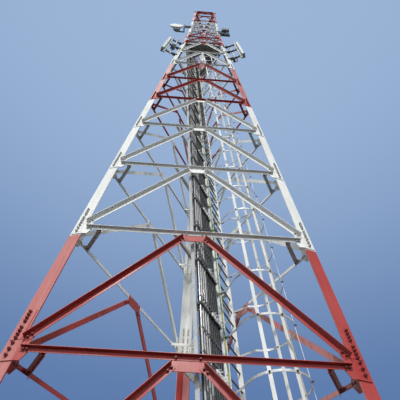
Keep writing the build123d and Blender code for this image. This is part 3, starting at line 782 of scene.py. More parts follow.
@dataclass(frozen=True)
class LadderLayout:
    """Where the ladder, its cage and the cables stand."""

    from_leg: float = 1.6065
    stile_near: float = 0.800
    stile_far: float = 1.230
    stile_t: float = 0.012
    rung_pitch: float = 0.225
    first_rung: float = 0.350
    top: float = 17.560
    top_gap: float = 0.060
    hoop_low: float = 2.150
    hoop_pitch: float = 0.675
    hoops: int = 22
    hoop_r: float = 0.360
    hoop_mid: float = 0.930
    hoop_reach: float = 0.480
    cable_first: float = 0.100
    cable_pitch: float = 0.058
    cables: int = 9
    outer_cables: int = 4
    cable_r: float = 0.024
    cable_low: float = 0.400

    def stand(self, z: float) -> Stand:
        """Frame of the ladder at a height: x along its width, y to the left side.

        Args:
            z: height.

        Returns:
            The stand.
        """
        s = TOWER.spacing(0.0)
        drift = plan(150) * (TOWER.taper() / SQ3) + Vector((0, 0, 1))
        at = Vector((s / 2 - self.from_leg, -s / (2 * SQ3) - TOWER.axis_back, 0)) + drift * z
        up = drift.normalized()
        return Stand(at, plan(60), up.cross(plan(60)), up)

    def hoop_levels(self) -> list[float]:
        """Heights of the hoops."""
        return [self.hoop_low + self.hoop_pitch * i for i in range(self.hoops)]

    def cable_x(self) -> list[float]:
        """Places of the feeder cables across the rack."""
        return [self.cable_first + self.cable_pitch * i for i in range(self.cables)]


LADDER = LadderLayout()


# Meshes

Ring = list[tuple[float, float, float]]
Outline = list[tuple[float, float]]


class Stock:
    """Collects closed shapes and turns them into one piece."""

    def __init__(self) -> None:
        """Start empty."""
        self.points: list[np.ndarray] = []
        self.faces: list[list[int]] = []
        self.count = 0

    def rings(self, stand: Stand, rings: list[Ring], closed: bool = False) -> None:
        """Skin a row of rings with the same number of points.

        Args:
            stand: place of the local coordinates.
            rings: local points, each ring in the same order.
            closed: whether the last ring joins the first, with no caps.
        """
        n, start = len(rings[0]), self.count
        local = np.array(rings, float).reshape(-1, 3)
        axes = np.array([stand.x, stand.y, stand.z])
        self.points.append(local @ axes + np.array(stand.at))
        self.count += len(local)
        steps = len(rings) if closed else len(rings) - 1
        for i in range(steps):
            a, b = start + i * n, start + ((i + 1) % len(rings)) * n
            for j in range(n):
                k = (j + 1) % n
                self.faces.append([a + j, a + k, b + k, b + j])
        if not closed:
            self.faces.append(list(range(start + n - 1, start - 1, -1)))
            self.faces.append(list(range(start + (len(rings) - 1) * n, start + len(rings) * n)))

    def turned(self, stand: Stand, profile: Outline, sides: int, phase: float = 0.0) -> None:
        """Solid of revolution about z, with flat sides, from the radius and height of its rings."""
        turns = [phase + 360 * i / sides for i in range(sides)]
        self.rings(stand, [[(r * cosd(a), r * sind(a), h) for a in turns] for r, h in profile])

    def hoop(self, stand: Stand, section: Outline, step: int) -> None:
        """Hoop about z, with the same section of radius and height all round."""
        rings = [[(r * cosd(a), r * sind(a), h) for r, h in section] for a in range(0, 360, step)]
        self.rings(stand, rings, closed=True)

    def block(self, stand: Stand, size: tuple[float, float, float], edge: float = 0.0015) -> None:
        """Block that stands on its place, with chamfered edges all round.

        Args:
            stand: middle of the underside.
            size: width, depth and height.
            edge: width of the chamfer.
        """
        hx, hy, h = size[0] / 2, size[1] / 2, size[2]
        e = min(edge, hx * 0.4, hy * 0.4, h * 0.4)
        rings = []
        for inset, z in ((e, 0.0), (0.0, e), (0.0, h - e), (e, h)):
            x, y = hx - inset, hy - inset
            rings.append([(-x + e, -y, z), (x - e, -y, z), (x, -y + e, z), (x, y - e, z),
                          (x - e, y, z), (-x + e, y, z), (-x, y - e, z), (-x, -y + e, z)])
        self.rings(stand, rings)

    def plate(self, stand: Stand, outline: Outline, low: float, high: float) -> None:
        """Flat plate with an anticlockwise outline in its own plane."""
        self.rings(stand, [[(x, y, z) for x, y in outline] for z in (low, high)])

    def tube(self, path: list[Vector], radius: float, sides: int = 10, closed: bool = False) -> None:
        """Round bar along a path.

        Args:
            path: points in row coordinates.
            radius: radius of the bar.
            sides: number of sides.
            closed: whether the path comes back to its start.
        """
        rings, n = [], len(path)
        side = None
        for i, p in enumerate(path):
            after = path[(i + 1) % n] if closed or i < n - 1 else p
            before = path[i - 1] if closed or i > 0 else p
            run = (after - before).normalized()
            if side is None:
                side = run.orthogonal().normalized()
            side = (side - run * side.dot(run)).normalized()
            other = run.cross(side)
            rings.append([tuple(p + (side * cosd(360 * k / sides) + other * sind(360 * k / sides)) * radius)
                          for k in range(sides)])
        self.rings(WORLD, rings, closed)

    def piece(self, name: str, shop: PaintShop, finish: Finish) -> None:
        """Make the collected shapes one piece of the mast.

        Args:
            name: name of the piece.
            shop: where its finish comes from.
            finish: which finish.
        """
        mesh = bpy.data.meshes.new(name)
        mesh.from_pydata(np.concatenate(self.points).tolist(), [], self.faces)
        mesh.update()
        obj = bpy.data.objects.new(name, mesh)
        bpy.context.scene.collection.objects.link(obj)
        shop.dress(obj, finish)
        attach(obj, "root")
        log.info("%s: %d faces", name, len(self.faces))


WORLD = Stand(Vector((0, 0, 0)), Vector((1, 0, 0)), Vector((0, 1, 0)), Vector((0, 0, 1)))
BoltStocks = dict[tuple[bool, str], Stock]


@dataclass(frozen=True)
class BoltSize:
    """Sizes of a bolt, its nut and its washer."""

    across: float
    height: float
    shank: float
    proud: float

    # Shares of the width across the flats, of the height and of the corner radius
    WASHER_T: ClassVar[float] = 0.12
    WASHER_R: ClassVar[float] = 0.56
    WASHER_FOOT: ClassVar[float] = 1.06
    NUT_BEVEL: ClassVar[float] = 0.12
    HEAD_H: ClassVar[float] = 0.70
    HEAD_BEVEL: ClassVar[float] = 0.15
    TOP_R: ClassVar[float] = 0.86

    def corner(self) -> float:
        """Radius over the corners of the hexagon."""
        return self.across / SQ3

    def nut(self, stock: Stock, stand: Stand, turn: float = 0.0) -> None:
        """Washer, nut and the end of the shank.

        Args:
            stock: where the shapes go.
            stand: place on the plate.
            turn: angle of the nut, in degrees.
        """
        washer_t, washer_r = self.WASHER_T * self.across, self.WASHER_R * self.across
        r, top = self.corner(), washer_t + self.height
        stock.turned(stand, [(washer_r * self.WASHER_FOOT, 0.0), (washer_r, washer_t)], 12)
        stock.turned(stand, [(r, washer_t), (r, top - self.NUT_BEVEL * self.height), (self.TOP_R * r, top)],
                     6, turn)
        s, end = self.shank / 2, top + self.proud
        stock.turned(stand, [(s, top - 0.002), (s, end - 0.2 * s), (0.8 * s, end)], 8)

    def head(self, stock: Stock, stand: Stand, turn: float = 0.0) -> None:
        """Hexagon head that stands on its place."""
        r, h = self.corner(), self.HEAD_H * self.height
        stock.turned(stand, [(r, 0.0), (r, (1 - self.HEAD_BEVEL) * h), (self.TOP_R * r, h)], 6, turn)


M20 = BoltSize(0.030, 0.017, 0.020, 0.012)
M16 = BoltSize(0.024, 0.013, 0.016, 0.008)
M12 = BoltSize(0.019, 0.010, 0.012, 0.006)
M10 = BoltSize(0.017, 0.008, 0.010, 0.005)
M30 = BoltSize(0.046, 0.026, 0.030, 0.045)


# Sub-assemblies

@dataclass
class LegBolts:
    """Nuts outside and heads inside the leg flanges, at gussets and cover plates."""

    shop: PaintShop
    column: float = 0.50
    gusset_rows: tuple[float, ...] = (-0.051, 0.009, 0.072)
    cover_low: float = 0.124
    pitch: float = 0.038
    gap: float = 0.070
    cover_t: float = 0.008
    row_bolts: int = 4

    def cover_rows(self) -> list[float]:
        """Heights of the cover plate's bolts above the level."""
        rows = [self.cover_low + self.pitch * i for i in range(self.row_bolts)]
        return rows + [rows[-1] + self.gap + self.pitch * i for i in range(self.row_bolts)]

    def build(self) -> None:
        """Set the bolts of every level on both flanges of the three legs."""
        spin = np.random.default_rng(7)
        nuts = {True: Stock(), False: Stock()}
        heads = {True: Stock(), False: Stock()}
        for z in TOWER.levels() + TOWER.mast_levels():
            wide = TOWER.has_wide_legs(z)
            size = M20 if wide else M16
            leg_t = TOWER.leg_t if wide else TOWER.mast_leg_t
            rows = [(dz, TOWER.plate_t) for dz in self.gusset_rows]
            if wide:
                rows += [(dz, self.cover_t) for dz in self.cover_rows()]
            elif abs(z - TOWER.top_z) < SLACK or abs(z - TOWER.kink_z) < SLACK:
                rows = rows[:2]
            red = TOWER.is_red(z)
            for deg in CORNERS:
                for flange in (0, 1):
                    for dz, t in rows:
                        at = flange_stand(deg, flange, z + dz).moved(self.column * TOWER.leg_width(z), 0.0)
                        turn = spin.uniform(0, 60)
                        size.nut(nuts[red], at.moved(0, 0, t), turn)
                        size.head(heads[red], at.moved(0, 0, -leg_t).flipped(), turn)
        for red, label, finish in ((True, "red", Finish.RED_BOLT), (False, "white", Finish.WHITE_BOLT)):
            nuts[red].piece("leg_nuts_" + label, self.shop, finish)
            heads[red].piece("leg_bolt_heads_" + label, self.shop, finish)


@dataclass
class BarBolts:
    """Bolts at the ends of the horizontals and diagonals and in the peak plates."""

    shop: PaintShop
    bar_gap: float = 0.020
    foot_up: float = 0.100
    peak_down: float = 0.075
    first: float = 0.027
    pitch: float = 0.046
    flat_pitch: float = 0.034
    flat_down: float = 0.002
    off_line: float = 0.003
    bar_t: float = 0.006
    thin_t: float = 0.005
    peak_half: float = 0.040
    peak_share: float = 0.026
    peak_edge: float = 0.015

    def build(self) -> None:
        """Bolt every bar of the three sides."""
        spin = np.random.default_rng(11)
        stocks = {(colour, kind): Stock() for colour in (True, False) for kind in ("nuts", "heads")}
        levels = [0.0] + TOWER.levels() + TOWER.mast_levels()
        for low, high in zip(levels, levels[1:]):
            for side in range(3):
                self.bay(stocks, side, low, high, spin)
        for side in range(3):
            for z in levels[1:]:
                self.level(stocks, side, z, spin)
        for (red, kind), stock in stocks.items():
            label = "red" if red else "white"
            stock.piece("bar_%s_%s" % (kind, label), self.shop, Finish.RED_BOLT if red else Finish.WHITE_BOLT)

    def peak_reach(self, z: float) -> float:
        """Distance from the middle of a side to the top end of a diagonal."""
        return self.peak_half + self.peak_share * TOWER.spacing(z)

    def put(self, stocks: BoltStocks, red: bool, stand: Stand, plate_back: float, size: BoltSize,
            turn: float) -> None:
        """One bolt through a bar and its gusset, whose back is plate_back behind the place."""
        size.nut(stocks[red, "nuts"], stand, turn)
        size.head(stocks[red, "heads"], stand.moved(0, 0, -plate_back).flipped(), turn)

    def bay(self, stocks: BoltStocks, side: int, low: float, high: float, spin: np.random.Generator) -> None:
        """Bolts of the two diagonals between two levels.

        Args:
            stocks: stocks by colour and kind.
            side: side of the tower.
            low: lower level.
            high: upper level.
            spin: source of the hexagons' angles.
        """
        middle = (low + high) / 2
        foot_level, peak_level = side_stand(side, low), side_stand(side, high)
        base = Stand(foot_level.at, foot_level.x, foot_level.y, side_stand(side, middle).z)
        rise = (peak_level.at - foot_level.at).dot(foot_level.y)
        mast = low >= TOWER.deck_z() - SLACK
        size, count, t = (M12, 1, self.thin_t) if mast else (M16, 2, self.bar_t)
        aside = 0.0 if mast else self.off_line
        out = TOWER.flange_out(middle) + TOWER.plate_t + t
        foot_reach = TOWER.spacing(low) / 2 - TOWER.leg_width(middle) - self.bar_gap
        steps = [self.first + self.pitch * i for i in range(count)]
        for sign in (-1, 1):
            foot = Vector((sign * foot_reach, self.foot_up, 0.0))
            peak = Vector((sign * self.peak_reach(high), rise - self.peak_down, 0.0))
            run = (peak - foot).normalized()
            down = Vector((-sign * run.y, sign * run.x, 0.0)) * aside
            for end in [foot + run * step for step in steps] + [peak - run * step for step in steps]:
                spot = end + down
                self.put(stocks, TOWER.is_red(middle), base.moved(spot.x, spot.y, out), t + TOWER.plate_t,
                         size, spin.uniform(0, 60))

    def level(self, stocks: BoltStocks, side: int, z: float, spin: np.random.Generator) -> None:
        """Bolts of one horizontal.

        Args:
            stocks: stocks by colour and kind.
            side: side of the tower.
            z: height of the level.
            spin: source of the hexagons' angles.
        """
        base = side_stand(side, z)
        size, count = (M12, 1) if z > TOWER.deck_z() + SLACK else (M16, 2)
        out = TOWER.flange_out(z) + TOWER.plate_t + self.thin_t
        end = TOWER.spacing(z) / 2 - TOWER.leg_width(z) - self.bar_gap - self.first
        spots = [end - self.flat_pitch * i for i in range(count)] + [self.peak_reach(z) - self.peak_edge]
        red = TOWER.is_red_above(z)
        for u in spots:
            for sign in (-1, 1):
                self.put(stocks, red, base.moved(sign * u, -self.flat_down, out), self.thin_t + TOWER.plate_t,
                         size, spin.uniform(0, 60))


@dataclass
class FootFittings:
    """Anchor nuts on the base plates and the weld round each leg."""

    shop: PaintShop
    plate_t: float = 0.025
    circle: float = 0.480
    washer: tuple[float, float] = (0.036, 0.005)
    sunk: float = 0.001
    weld: float = 0.012
    weld_start: float = 0.020
    weld_length: float = 0.125
    bead_count: int = 24
    bead_share: float = 0.12

    def build(self) -> None:
        """Set the anchors and lay the welds."""
        anchors, welds = Stock(), Stock()
        washer_r, washer_t = self.washer
        for deg in CORNERS:
            middle = plan(deg) * TOWER.axis_back + Vector((0, -TOWER.axis_back, self.plate_t))
            for i in range(4):
                at = middle + plan(deg - REAR + 45 + 90 * i) * (self.circle / 2)
                stand = Stand(at, plan(0), plan(90), WORLD.z)
                anchors.turned(stand, [(washer_r, 0.0), (washer_r, washer_t)], 20)
                M30.nut(anchors, stand.moved(0, 0, washer_t - self.sunk), 17.0 * i)
            for flange in (0, 1):
                base = flange_stand(deg, flange, self.plate_t)
                level = Vector((base.z.x, base.z.y, 0)).normalized()
                along = Vector((base.x.x, base.x.y, 0)).normalized()
                for face, out in ((TOWER.plate_t, level), (-TOWER.leg_t, -level)):
                    start = base.at + level * face + along * self.weld_start
                    self.seam(welds, Stand(start, out, WORLD.z, along))
        anchors.piece("anchor_nuts", self.shop, Finish.ZINC)
        welds.piece("foot_welds", self.shop, Finish.RED_BOLT)

    def seam(self, stock: Stock, stand: Stand) -> None:
        """One weld along a flange.

        Args:
            stock: where the shape goes.
            stand: its start, x out of the flange, y up and z along it.
        """
        w = self.weld
        stock.rings(stand, [[(0, 0, s), (w * k, 0, s), (0.6 * w * k, 0.5 * w, s), (0, w * k, s)]
                            for s, k in self.beads()])

    def beads(self) -> Outline:
        """Swelling of a weld along its length.

        Returns:
            Places along it, each with its share of the full width.
        """
        pitch = self.weld_length / self.bead_count
        low = 1 - self.bead_share
        return [(pitch * i, low + self.bead_share * (i % 2)) for i in range(self.bead_count + 1)]


@dataclass
class CageFittings:
    """Bolts of the safety cage, clips of the ladder and plugs of the rungs."""

    shop: PaintShop
    hoop_flats: int = 28
    hoop_t: float = 0.005
    strap_t: float = 0.005
    strap_gap: float = 0.0005
    clip: tuple[float, float, float] = (0.090, 0.034, 0.005)
    clip_back: float = 0.030
    clip_down: float = 0.010
    clip_bolts: tuple[float, float] = (0.016, -0.036)
    plug: tuple[tuple[float, float], ...] = (
        (0.015, -0.001), (0.0145, 0.002), (0.010, 0.0045), (0.004, 0.0055))
    bracket_half: float = 0.025
    bracket_bolt: float = 0.062
    bracket_pitch: float = 0.045
    bracket_levels: int = 8

    def strap_angles(self) -> list[float]:
        """Directions of the five straps, each in the middle of a flat of the hoop."""
        half_flat = 180 / self.hoop_flats
        return [180 + half_flat, 225 + half_flat, 270 + half_flat, 315 + half_flat, 360 - half_flat]

    def build(self) -> None:
        """Bolt the straps and hoops, clip the ladder and plug the rungs."""
        self.strap_bolts()
        self.hoop_clips()
        self.rung_plugs()
        self.beam_clips()

    def strap_bolts(self) -> None:
        """One black bolt where each strap crosses each hoop."""
        bolts = Stock()
        r = (LADDER.hoop_r - self.hoop_t / 2) * cosd(180 / self.hoop_flats)
        for z in LADDER.hoop_levels():
            stand = LADDER.stand(z)
            mid = stand.point(LADDER.hoop_mid, -LADDER.hoop_reach, 0)
            for deg in self.strap_angles():
                out = stand.x * cosd(deg) + stand.y * sind(deg)
                front = mid + out * (r + self.hoop_t + 2 * self.strap_gap)
                face = Stand(front, stand.z.cross(out), stand.z, out)
                back = Stand(mid + out * (r - self.strap_t - self.strap_gap), face.x, -face.y, -out)
                M12.nut(bolts, face, 10.0 * (deg % 6))
                M12.head(bolts, back, 20.0)
        bolts.piece("cage_strap_bolts", self.shop, Finish.BLACK_BOLT)

    def stile_faces(self, z: float, off: float, back: float) -> list[Stand]:
        """Places on both stiles: x across the stile, y up it, z out of its side.

        Args:
            z: height.
            off: distance from the stile's middle.
            back: distance towards the climber's side.

        Returns:
            The place on the near and on the far stile.
        """
        stand = LADDER.stand(z)
        ends = ((LADDER.stile_near, -1), (LADDER.stile_far, 1))
        return [Stand(stand.point(x + sign * off, -back, 0), stand.y, stand.z, stand.x * sign)
                for x, sign in ends]

    def hoop_clips(self) -> None:
        """Lugs and bolts that hold the ends of the hoops to the stiles."""
        lugs, bolts = Stock(), Stock()
        for z in LADDER.hoop_levels():
            for face in self.stile_faces(z, LADDER.stile_t / 2, self.clip_back):
                lugs.block(face.moved(-self.clip_down, 0.0), self.clip)
                for along, turn in zip(self.clip_bolts, (12.0, 33.0)):
                    M12.nut(bolts, face.moved(along, 0.0, self.clip[2]), turn)
        lugs.piece("hoop_lugs", self.shop, Finish.BLACK_BOLT)
        bolts.piece("hoop_lug_bolts", self.shop, Finish.BLACK_BOLT)

    def rung_plugs(self) -> None:
        """Ends of the rungs, riveted over outside the stiles."""
        plugs = Stock()
        z = LADDER.first_rung
        while z < LADDER.top - LADDER.top_gap:
            for face in self.stile_faces(z, LADDER.stile_t / 2, 0.0):
                plugs.turned(face, list(self.plug), 10)
            z += LADDER.rung_pitch
        plugs.piece("rung_plugs", self.shop, Finish.WHITE_BOLT)

    def beam_clips(self) -> None:
        """Cross bolts through the brackets that join the stiles to the beams."""
        bolts = Stock()
        for z in TOWER.levels()[:self.bracket_levels]:
            stand = LADDER.stand(z)
            for x in (LADDER.stile_near, LADDER.stile_far):
                for sign in (-1, 1):
                    at = stand.point(x + sign * self.bracket_half, self.bracket_bolt, 0)
                    face = Stand(at, stand.y, stand.z, stand.x * sign)
                    M12.nut(bolts, face, 14.0)
                    M12.nut(bolts, face.moved(self.bracket_pitch, 0.0), 41.0)
        bolts.piece("ladder_bracket_bolts", self.shop, Finish.BRIGHT_BOLT)


@dataclass
class CableFittings:
    """Clamps, ties and end fittings of the feeder cables."""

    shop: PaintShop
    clamp_front: float = 0.0075
    cap_w: float = 0.047
    cap_tall: tuple[float, float] = (0.050, 0.066)
    cap_deep: tuple[float, float] = (0.020, 0.030)
    cap_edge: float = 0.010
    crooked: float = 7.0
    astray: tuple[float, float] = (0.002, 0.006)
    stud_spread: float = 0.3
    stud_reach: tuple[float, float] = (0.020, 0.036)
    stud_foot: tuple[tuple[float, float], ...] = ((0.009, 0.0), (0.009, 0.007), (0.0045, 0.0072))
    stud_r: float = 0.0045
    tie_up: float = 0.10
    second_tie_up: float = 0.37
    tie_half_w: float = 0.011
    tie_t: float = 0.003
    tie_gap: float = 0.001
    tail_r: float = 0.0035
    tail_length: tuple[float, float] = (0.05, 0.13)
    tail_lean: float = 0.8
    tail_shape: tuple[tuple[float, float, float], ...] = ((0.0, 0.0, 0.0), (0.4, 0.2, 0.3), (0.8, 0.25, 1.0))
    cable_gap: float = 0.0005
    sleeve: tuple[tuple[float, float], ...] = (
        (0.021, -0.010), (0.0262, 0.0), (0.0262, 0.060), (0.0255, 0.120), (0.0244, 0.125))
    connector: tuple[tuple[float, float], ...] = (
        (0.008, -0.072), (0.010, -0.070), (0.010, -0.052), (0.017, -0.050), (0.017, -0.028), (0.015, -0.026),
        (0.019, -0.022), (0.019, -0.006))

    def build(self) -> None:
        """Cap the clamps, tie the bundle and close the cable ends."""
        caps, studs, ties = Stock(), Stock(), Stock()
        draw = np.random.default_rng(23)
        front = -2 * LADDER.cable_r - self.clamp_front
        for k, z in enumerate(LADDER.hoop_levels()):
            stand = LADDER.stand(z)
            for i, x in enumerate(LADDER.cable_x()):
                face = Stand(stand.point(x, front, 0), stand.x, stand.z, -stand.y)
                if i < LADDER.outer_cables:
                    M10.nut(ties, face.moved(LADDER.cable_pitch / 2, 0), 15.0 * i)
                else:
                    self.cap(caps, studs, face, draw)
            self.tie(ties, z + self.tie_up, draw)
            if k % 2 == 0:
                self.tie(ties, z + self.second_tie_up, draw)
        caps.piece("cable_clamp_caps", self.shop, Finish.BRIGHT_BOLT)
        studs.piece("cable_clamp_studs", self.shop, Finish.BRIGHT_BOLT)
        ties.piece("cable_ties", self.shop, Finish.TAPE)
        self.ends()

    def cap(self, caps: Stock, studs: Stock, face: Stand, draw: np.random.Generator) -> None:
        """Cap of a clamp over one cable, with its two studs.

        Args:
            caps: stock of the caps.
            studs: stock of the studs.
            face: front of the clamp at the cable.
            draw: source of the sizes and of the crooked fit.
        """
        tall = draw.uniform(*self.cap_tall)
        deep = draw.uniform(*self.cap_deep)
        aside, off = self.astray
        place = face.turned(draw.uniform(-self.crooked, self.crooked))
        place = place.moved(draw.uniform(-aside, aside), draw.uniform(-off, off))
        caps.block(place, (self.cap_w, tall, deep), self.cap_edge)
        for up in (-1, 1):
            reach = draw.uniform(*self.stud_reach)
            stud = [*self.stud_foot, (self.stud_r, reach), (self.stud_r - 0.001, reach + 0.001)]
            studs.turned(place.moved(0, up * self.stud_spread * tall, deep), stud, 8)

    def tie(self, stock: Stock, z: float, draw: np.random.Generator) -> None:
        """Strap round the whole bundle with its tail standing out.

        Args:
            stock: where the shape goes.
            z: height.
            draw: source of the tail's length and angle.
        """
        stand = LADDER.stand(z)
        xs, r, band = LADDER.cable_x(), LADDER.cable_r, self.tie_half_w
        near, far = r + self.tie_gap, r + self.tie_gap + self.tie_t
        rings = []
        for x, start in ((xs[0], 100), (xs[-1], 280)):
            for deg in range(start, start + 161, 40):
                inner = (x + near * cosd(deg), -r + near * sind(deg))
                outer = (x + far * cosd(deg), -r + far * sind(deg))
                rings.append([(*outer, -band), (*outer, band), (*inner, band), (*inner, -band)])
        stock.rings(stand, rings, closed=True)
        length, lean = draw.uniform(*self.tail_length), draw.uniform(-self.tail_lean, self.tail_lean)
        edge = xs[0] - r - self.tie_t
        tail = [stand.point(edge - out * length, -r - back * length, lean * rise * length)
                for out, back, rise in self.tail_shape]
        stock.tube(tail, self.tail_r, 6)

    def ends(self) -> None:
        """Shrink sleeves and connectors on the lower ends of the cables."""
        sleeves, plugs = Stock(), Stock()
        for x in LADDER.cable_x():
            stand = LADDER.stand(LADDER.cable_low).moved(x, -LADDER.cable_r - self.cable_gap)
            sleeves.turned(stand, list(self.sleeve), 16)
            plugs.turned(stand, list(self.connector), 12)
        sleeves.piece("cable_end_sleeves", self.shop, Finish.TAPE)
        plugs.piece("cable_end_connectors", self.shop, Finish.BRIGHT_BOLT)


@dataclass
class PlanCleats:
    """Cleats and nuts that hold the corner braces."""

    shop: PaintShop
    share: float = 0.115
    high_share: float = 0.10
    shortest: float = 0.284
    brace_t: float = 0.006
    nut_gap: float = 0.001
    nut_depth: float = 0.030
    beside: float = 0.030
    size: tuple[float, float, float] = (0.060, 0.023, 0.006)
    lip_depth: float = 0.050
    lip_gap: float = 0.0005

    def build(self) -> None:
        """Set a nut at both ends of every corner brace, and a cleat at those of the longer ones."""
        cleats = {True: Stock(), False: Stock()}
        nuts = {True: Stock(), False: Stock()}
        wide, tall, t = self.size
        for z in TOWER.levels()[:-1]:
            s, red = TOWER.spacing(z), TOWER.is_red_above(z)
            far, layer = self.share * s, TOWER.flange_out(z) + TOWER.plate_t
            short = far < self.shortest
            if short:
                far, layer = self.high_share * s, TOWER.flange_out(z)
            for side in range(3):
                base = side_stand(side, z)
                for sign in (-1, 1):
                    inward = s / 2 - far + self.nut_depth / SQ3
                    under = base.moved(sign * inward, -self.brace_t - self.nut_gap, layer - self.nut_depth)
                    M12.nut(nuts[red], Stand(under.at, under.x, under.z, -under.y), 21.0)
                    if short:
                        continue
                    back = base.moved(sign * (s / 2 - far + self.beside), tall / 2, layer).flipped()
                    cleats[red].block(back, self.size)
                    cleats[red].block(back.moved(0, (tall - t) / 2, self.lip_gap), (wide, t, self.lip_depth))
        for red, label in ((True, "red"), (False, "white")):
            cleats[red].piece("brace_cleats_" + label, self.shop, Finish.RED if red else Finish.WHITE)
            nuts[red].piece("brace_nuts_" + label, self.shop, Finish.RED_BOLT if red else Finish.WHITE_BOLT)


@dataclass
class DeckFittings:
    """Bars under the deck and toe boards round it."""

    shop: PaintShop
    low: float = 17.482
    thick: float = 0.008
    corner_cut: float = 0.170
    inset: float = 0.015
    bar_pitch: float = 0.055
    bar_depth: float = 0.026
    bar_t: float = 0.006
    bar_edges: tuple[float, float] = (0.030, 0.020)
    bar_gap: float = 0.010
    shortest_bar: float = 0.040
    probe: float = 0.010
    board: tuple[float, float] = (0.006, 0.100)
    board_in: float = 0.008
    board_gap: float = 0.010
    shortest_side: float = 0.500
    hatch: tuple[float, float, float, float] = (-0.110, 0.045, -0.490, 0.055)
    slot: tuple[float, float, float, float] = (0.055, 0.620, -0.070, 0.075)

    def outline(self) -> list[Vector]:
        """Corners of the deck in row coordinates.

        Returns:
            The six corners, in order round the deck.
        """
        s = TOWER.spacing(self.low + self.thick) - 2 * self.inset * SQ3
        points = []
        for deg in CORNERS:
            tip = plan(deg) * (s / SQ3)
            for turn in (-150, 150):
                p = tip + plan(deg + turn) * self.corner_cut
                points.append(Vector((p.x, p.y - TOWER.axis_back, 0.0)))
        return points

    def is_open(self, p: Vector) -> bool:
        """Whether a plan point lies in the hatch or the cable slot.

        Args:
            p: point in row coordinates.

        Returns:
            True inside an opening.
        """
        s = TOWER.spacing(self.low)
        start = Vector((s / 2 - LADDER.from_leg, -s / (2 * SQ3) - TOWER.axis_back, 0))
        rel = Vector((p.x - start.x, p.y - start.y, 0))
        x, y = rel.dot(plan(60)), -rel.dot(plan(-30))
        near, far, front, back = self.hatch
        in_hatch = LADDER.stile_near + near < x < LADDER.stile_far + far and front < y < back
        near, far, front, back = self.slot
        return in_hatch or (near < x < far and front < y < back)

    def build(self) -> None:
        """Lay the bars and stand the toe boards."""
        bars, boards = Stock(), Stock()
        points = self.outline()
        low_y, high_y = min(p.y for p in points), max(p.y for p in points)
        first, last = self.bar_edges
        y = low_y + first
        while y < high_y - last:
            for x0, x1 in self.runs(points, y):
                at = Vector(((x0 + x1) / 2, y, self.low - self.bar_depth))
                bar = (x1 - x0, self.bar_t, self.bar_depth)
                bars.block(Stand(at, plan(0), plan(90), WORLD.z), bar, 0.001)
            y += self.bar_pitch
        board_t, board_h = self.board
        for a, b in zip(points, points[1:] + points[:1]):
            run = b - a
            if run.length < self.shortest_side:
                continue
            along = run.normalized()
            inward = WORLD.z.cross(along)
            at = (a + b) / 2 + inward * self.board_in
            foot = Vector((at.x, at.y, self.low + self.thick))
            size = (run.length - self.board_gap, board_t, board_h)
            boards.block(Stand(foot, along, inward, WORLD.z), size, 0.002)
        bars.piece("deck_bars", self.shop, Finish.DECK)
        boards.piece("toe_boards", self.shop, Finish.DECK)

    def runs(self, points: list[Vector], y: float) -> list[tuple[float, float]]:
        """Lengths of one bar between the edges and the openings.

        Args:
            points: corners of the deck.
            y: place of the bar.

        Returns:
            Start and end of each length.
        """
        cuts = []
        for a, b in zip(points, points[1:] + points[:1]):
            if (a.y - y) * (b.y - y) < 0:
                cuts.append(a.x + (b.x - a.x) * (y - a.y) / (b.y - a.y))
        if len(cuts) < 2:
            return []
        start, end = min(cuts) + self.bar_gap, max(cuts) - self.bar_gap
        spans, first, x = [], None, start
        while x <= end:
            shut = not self.is_open(Vector((x, y, 0)))
            if shut and first is None:
                first = x
            if not shut and first is not None:
                spans.append((first, x))
                first = None
            x += self.probe
        if first is not None:
            spans.append((first, end))
        return [(a, b) for a, b in spans if b - a > self.shortest_bar]


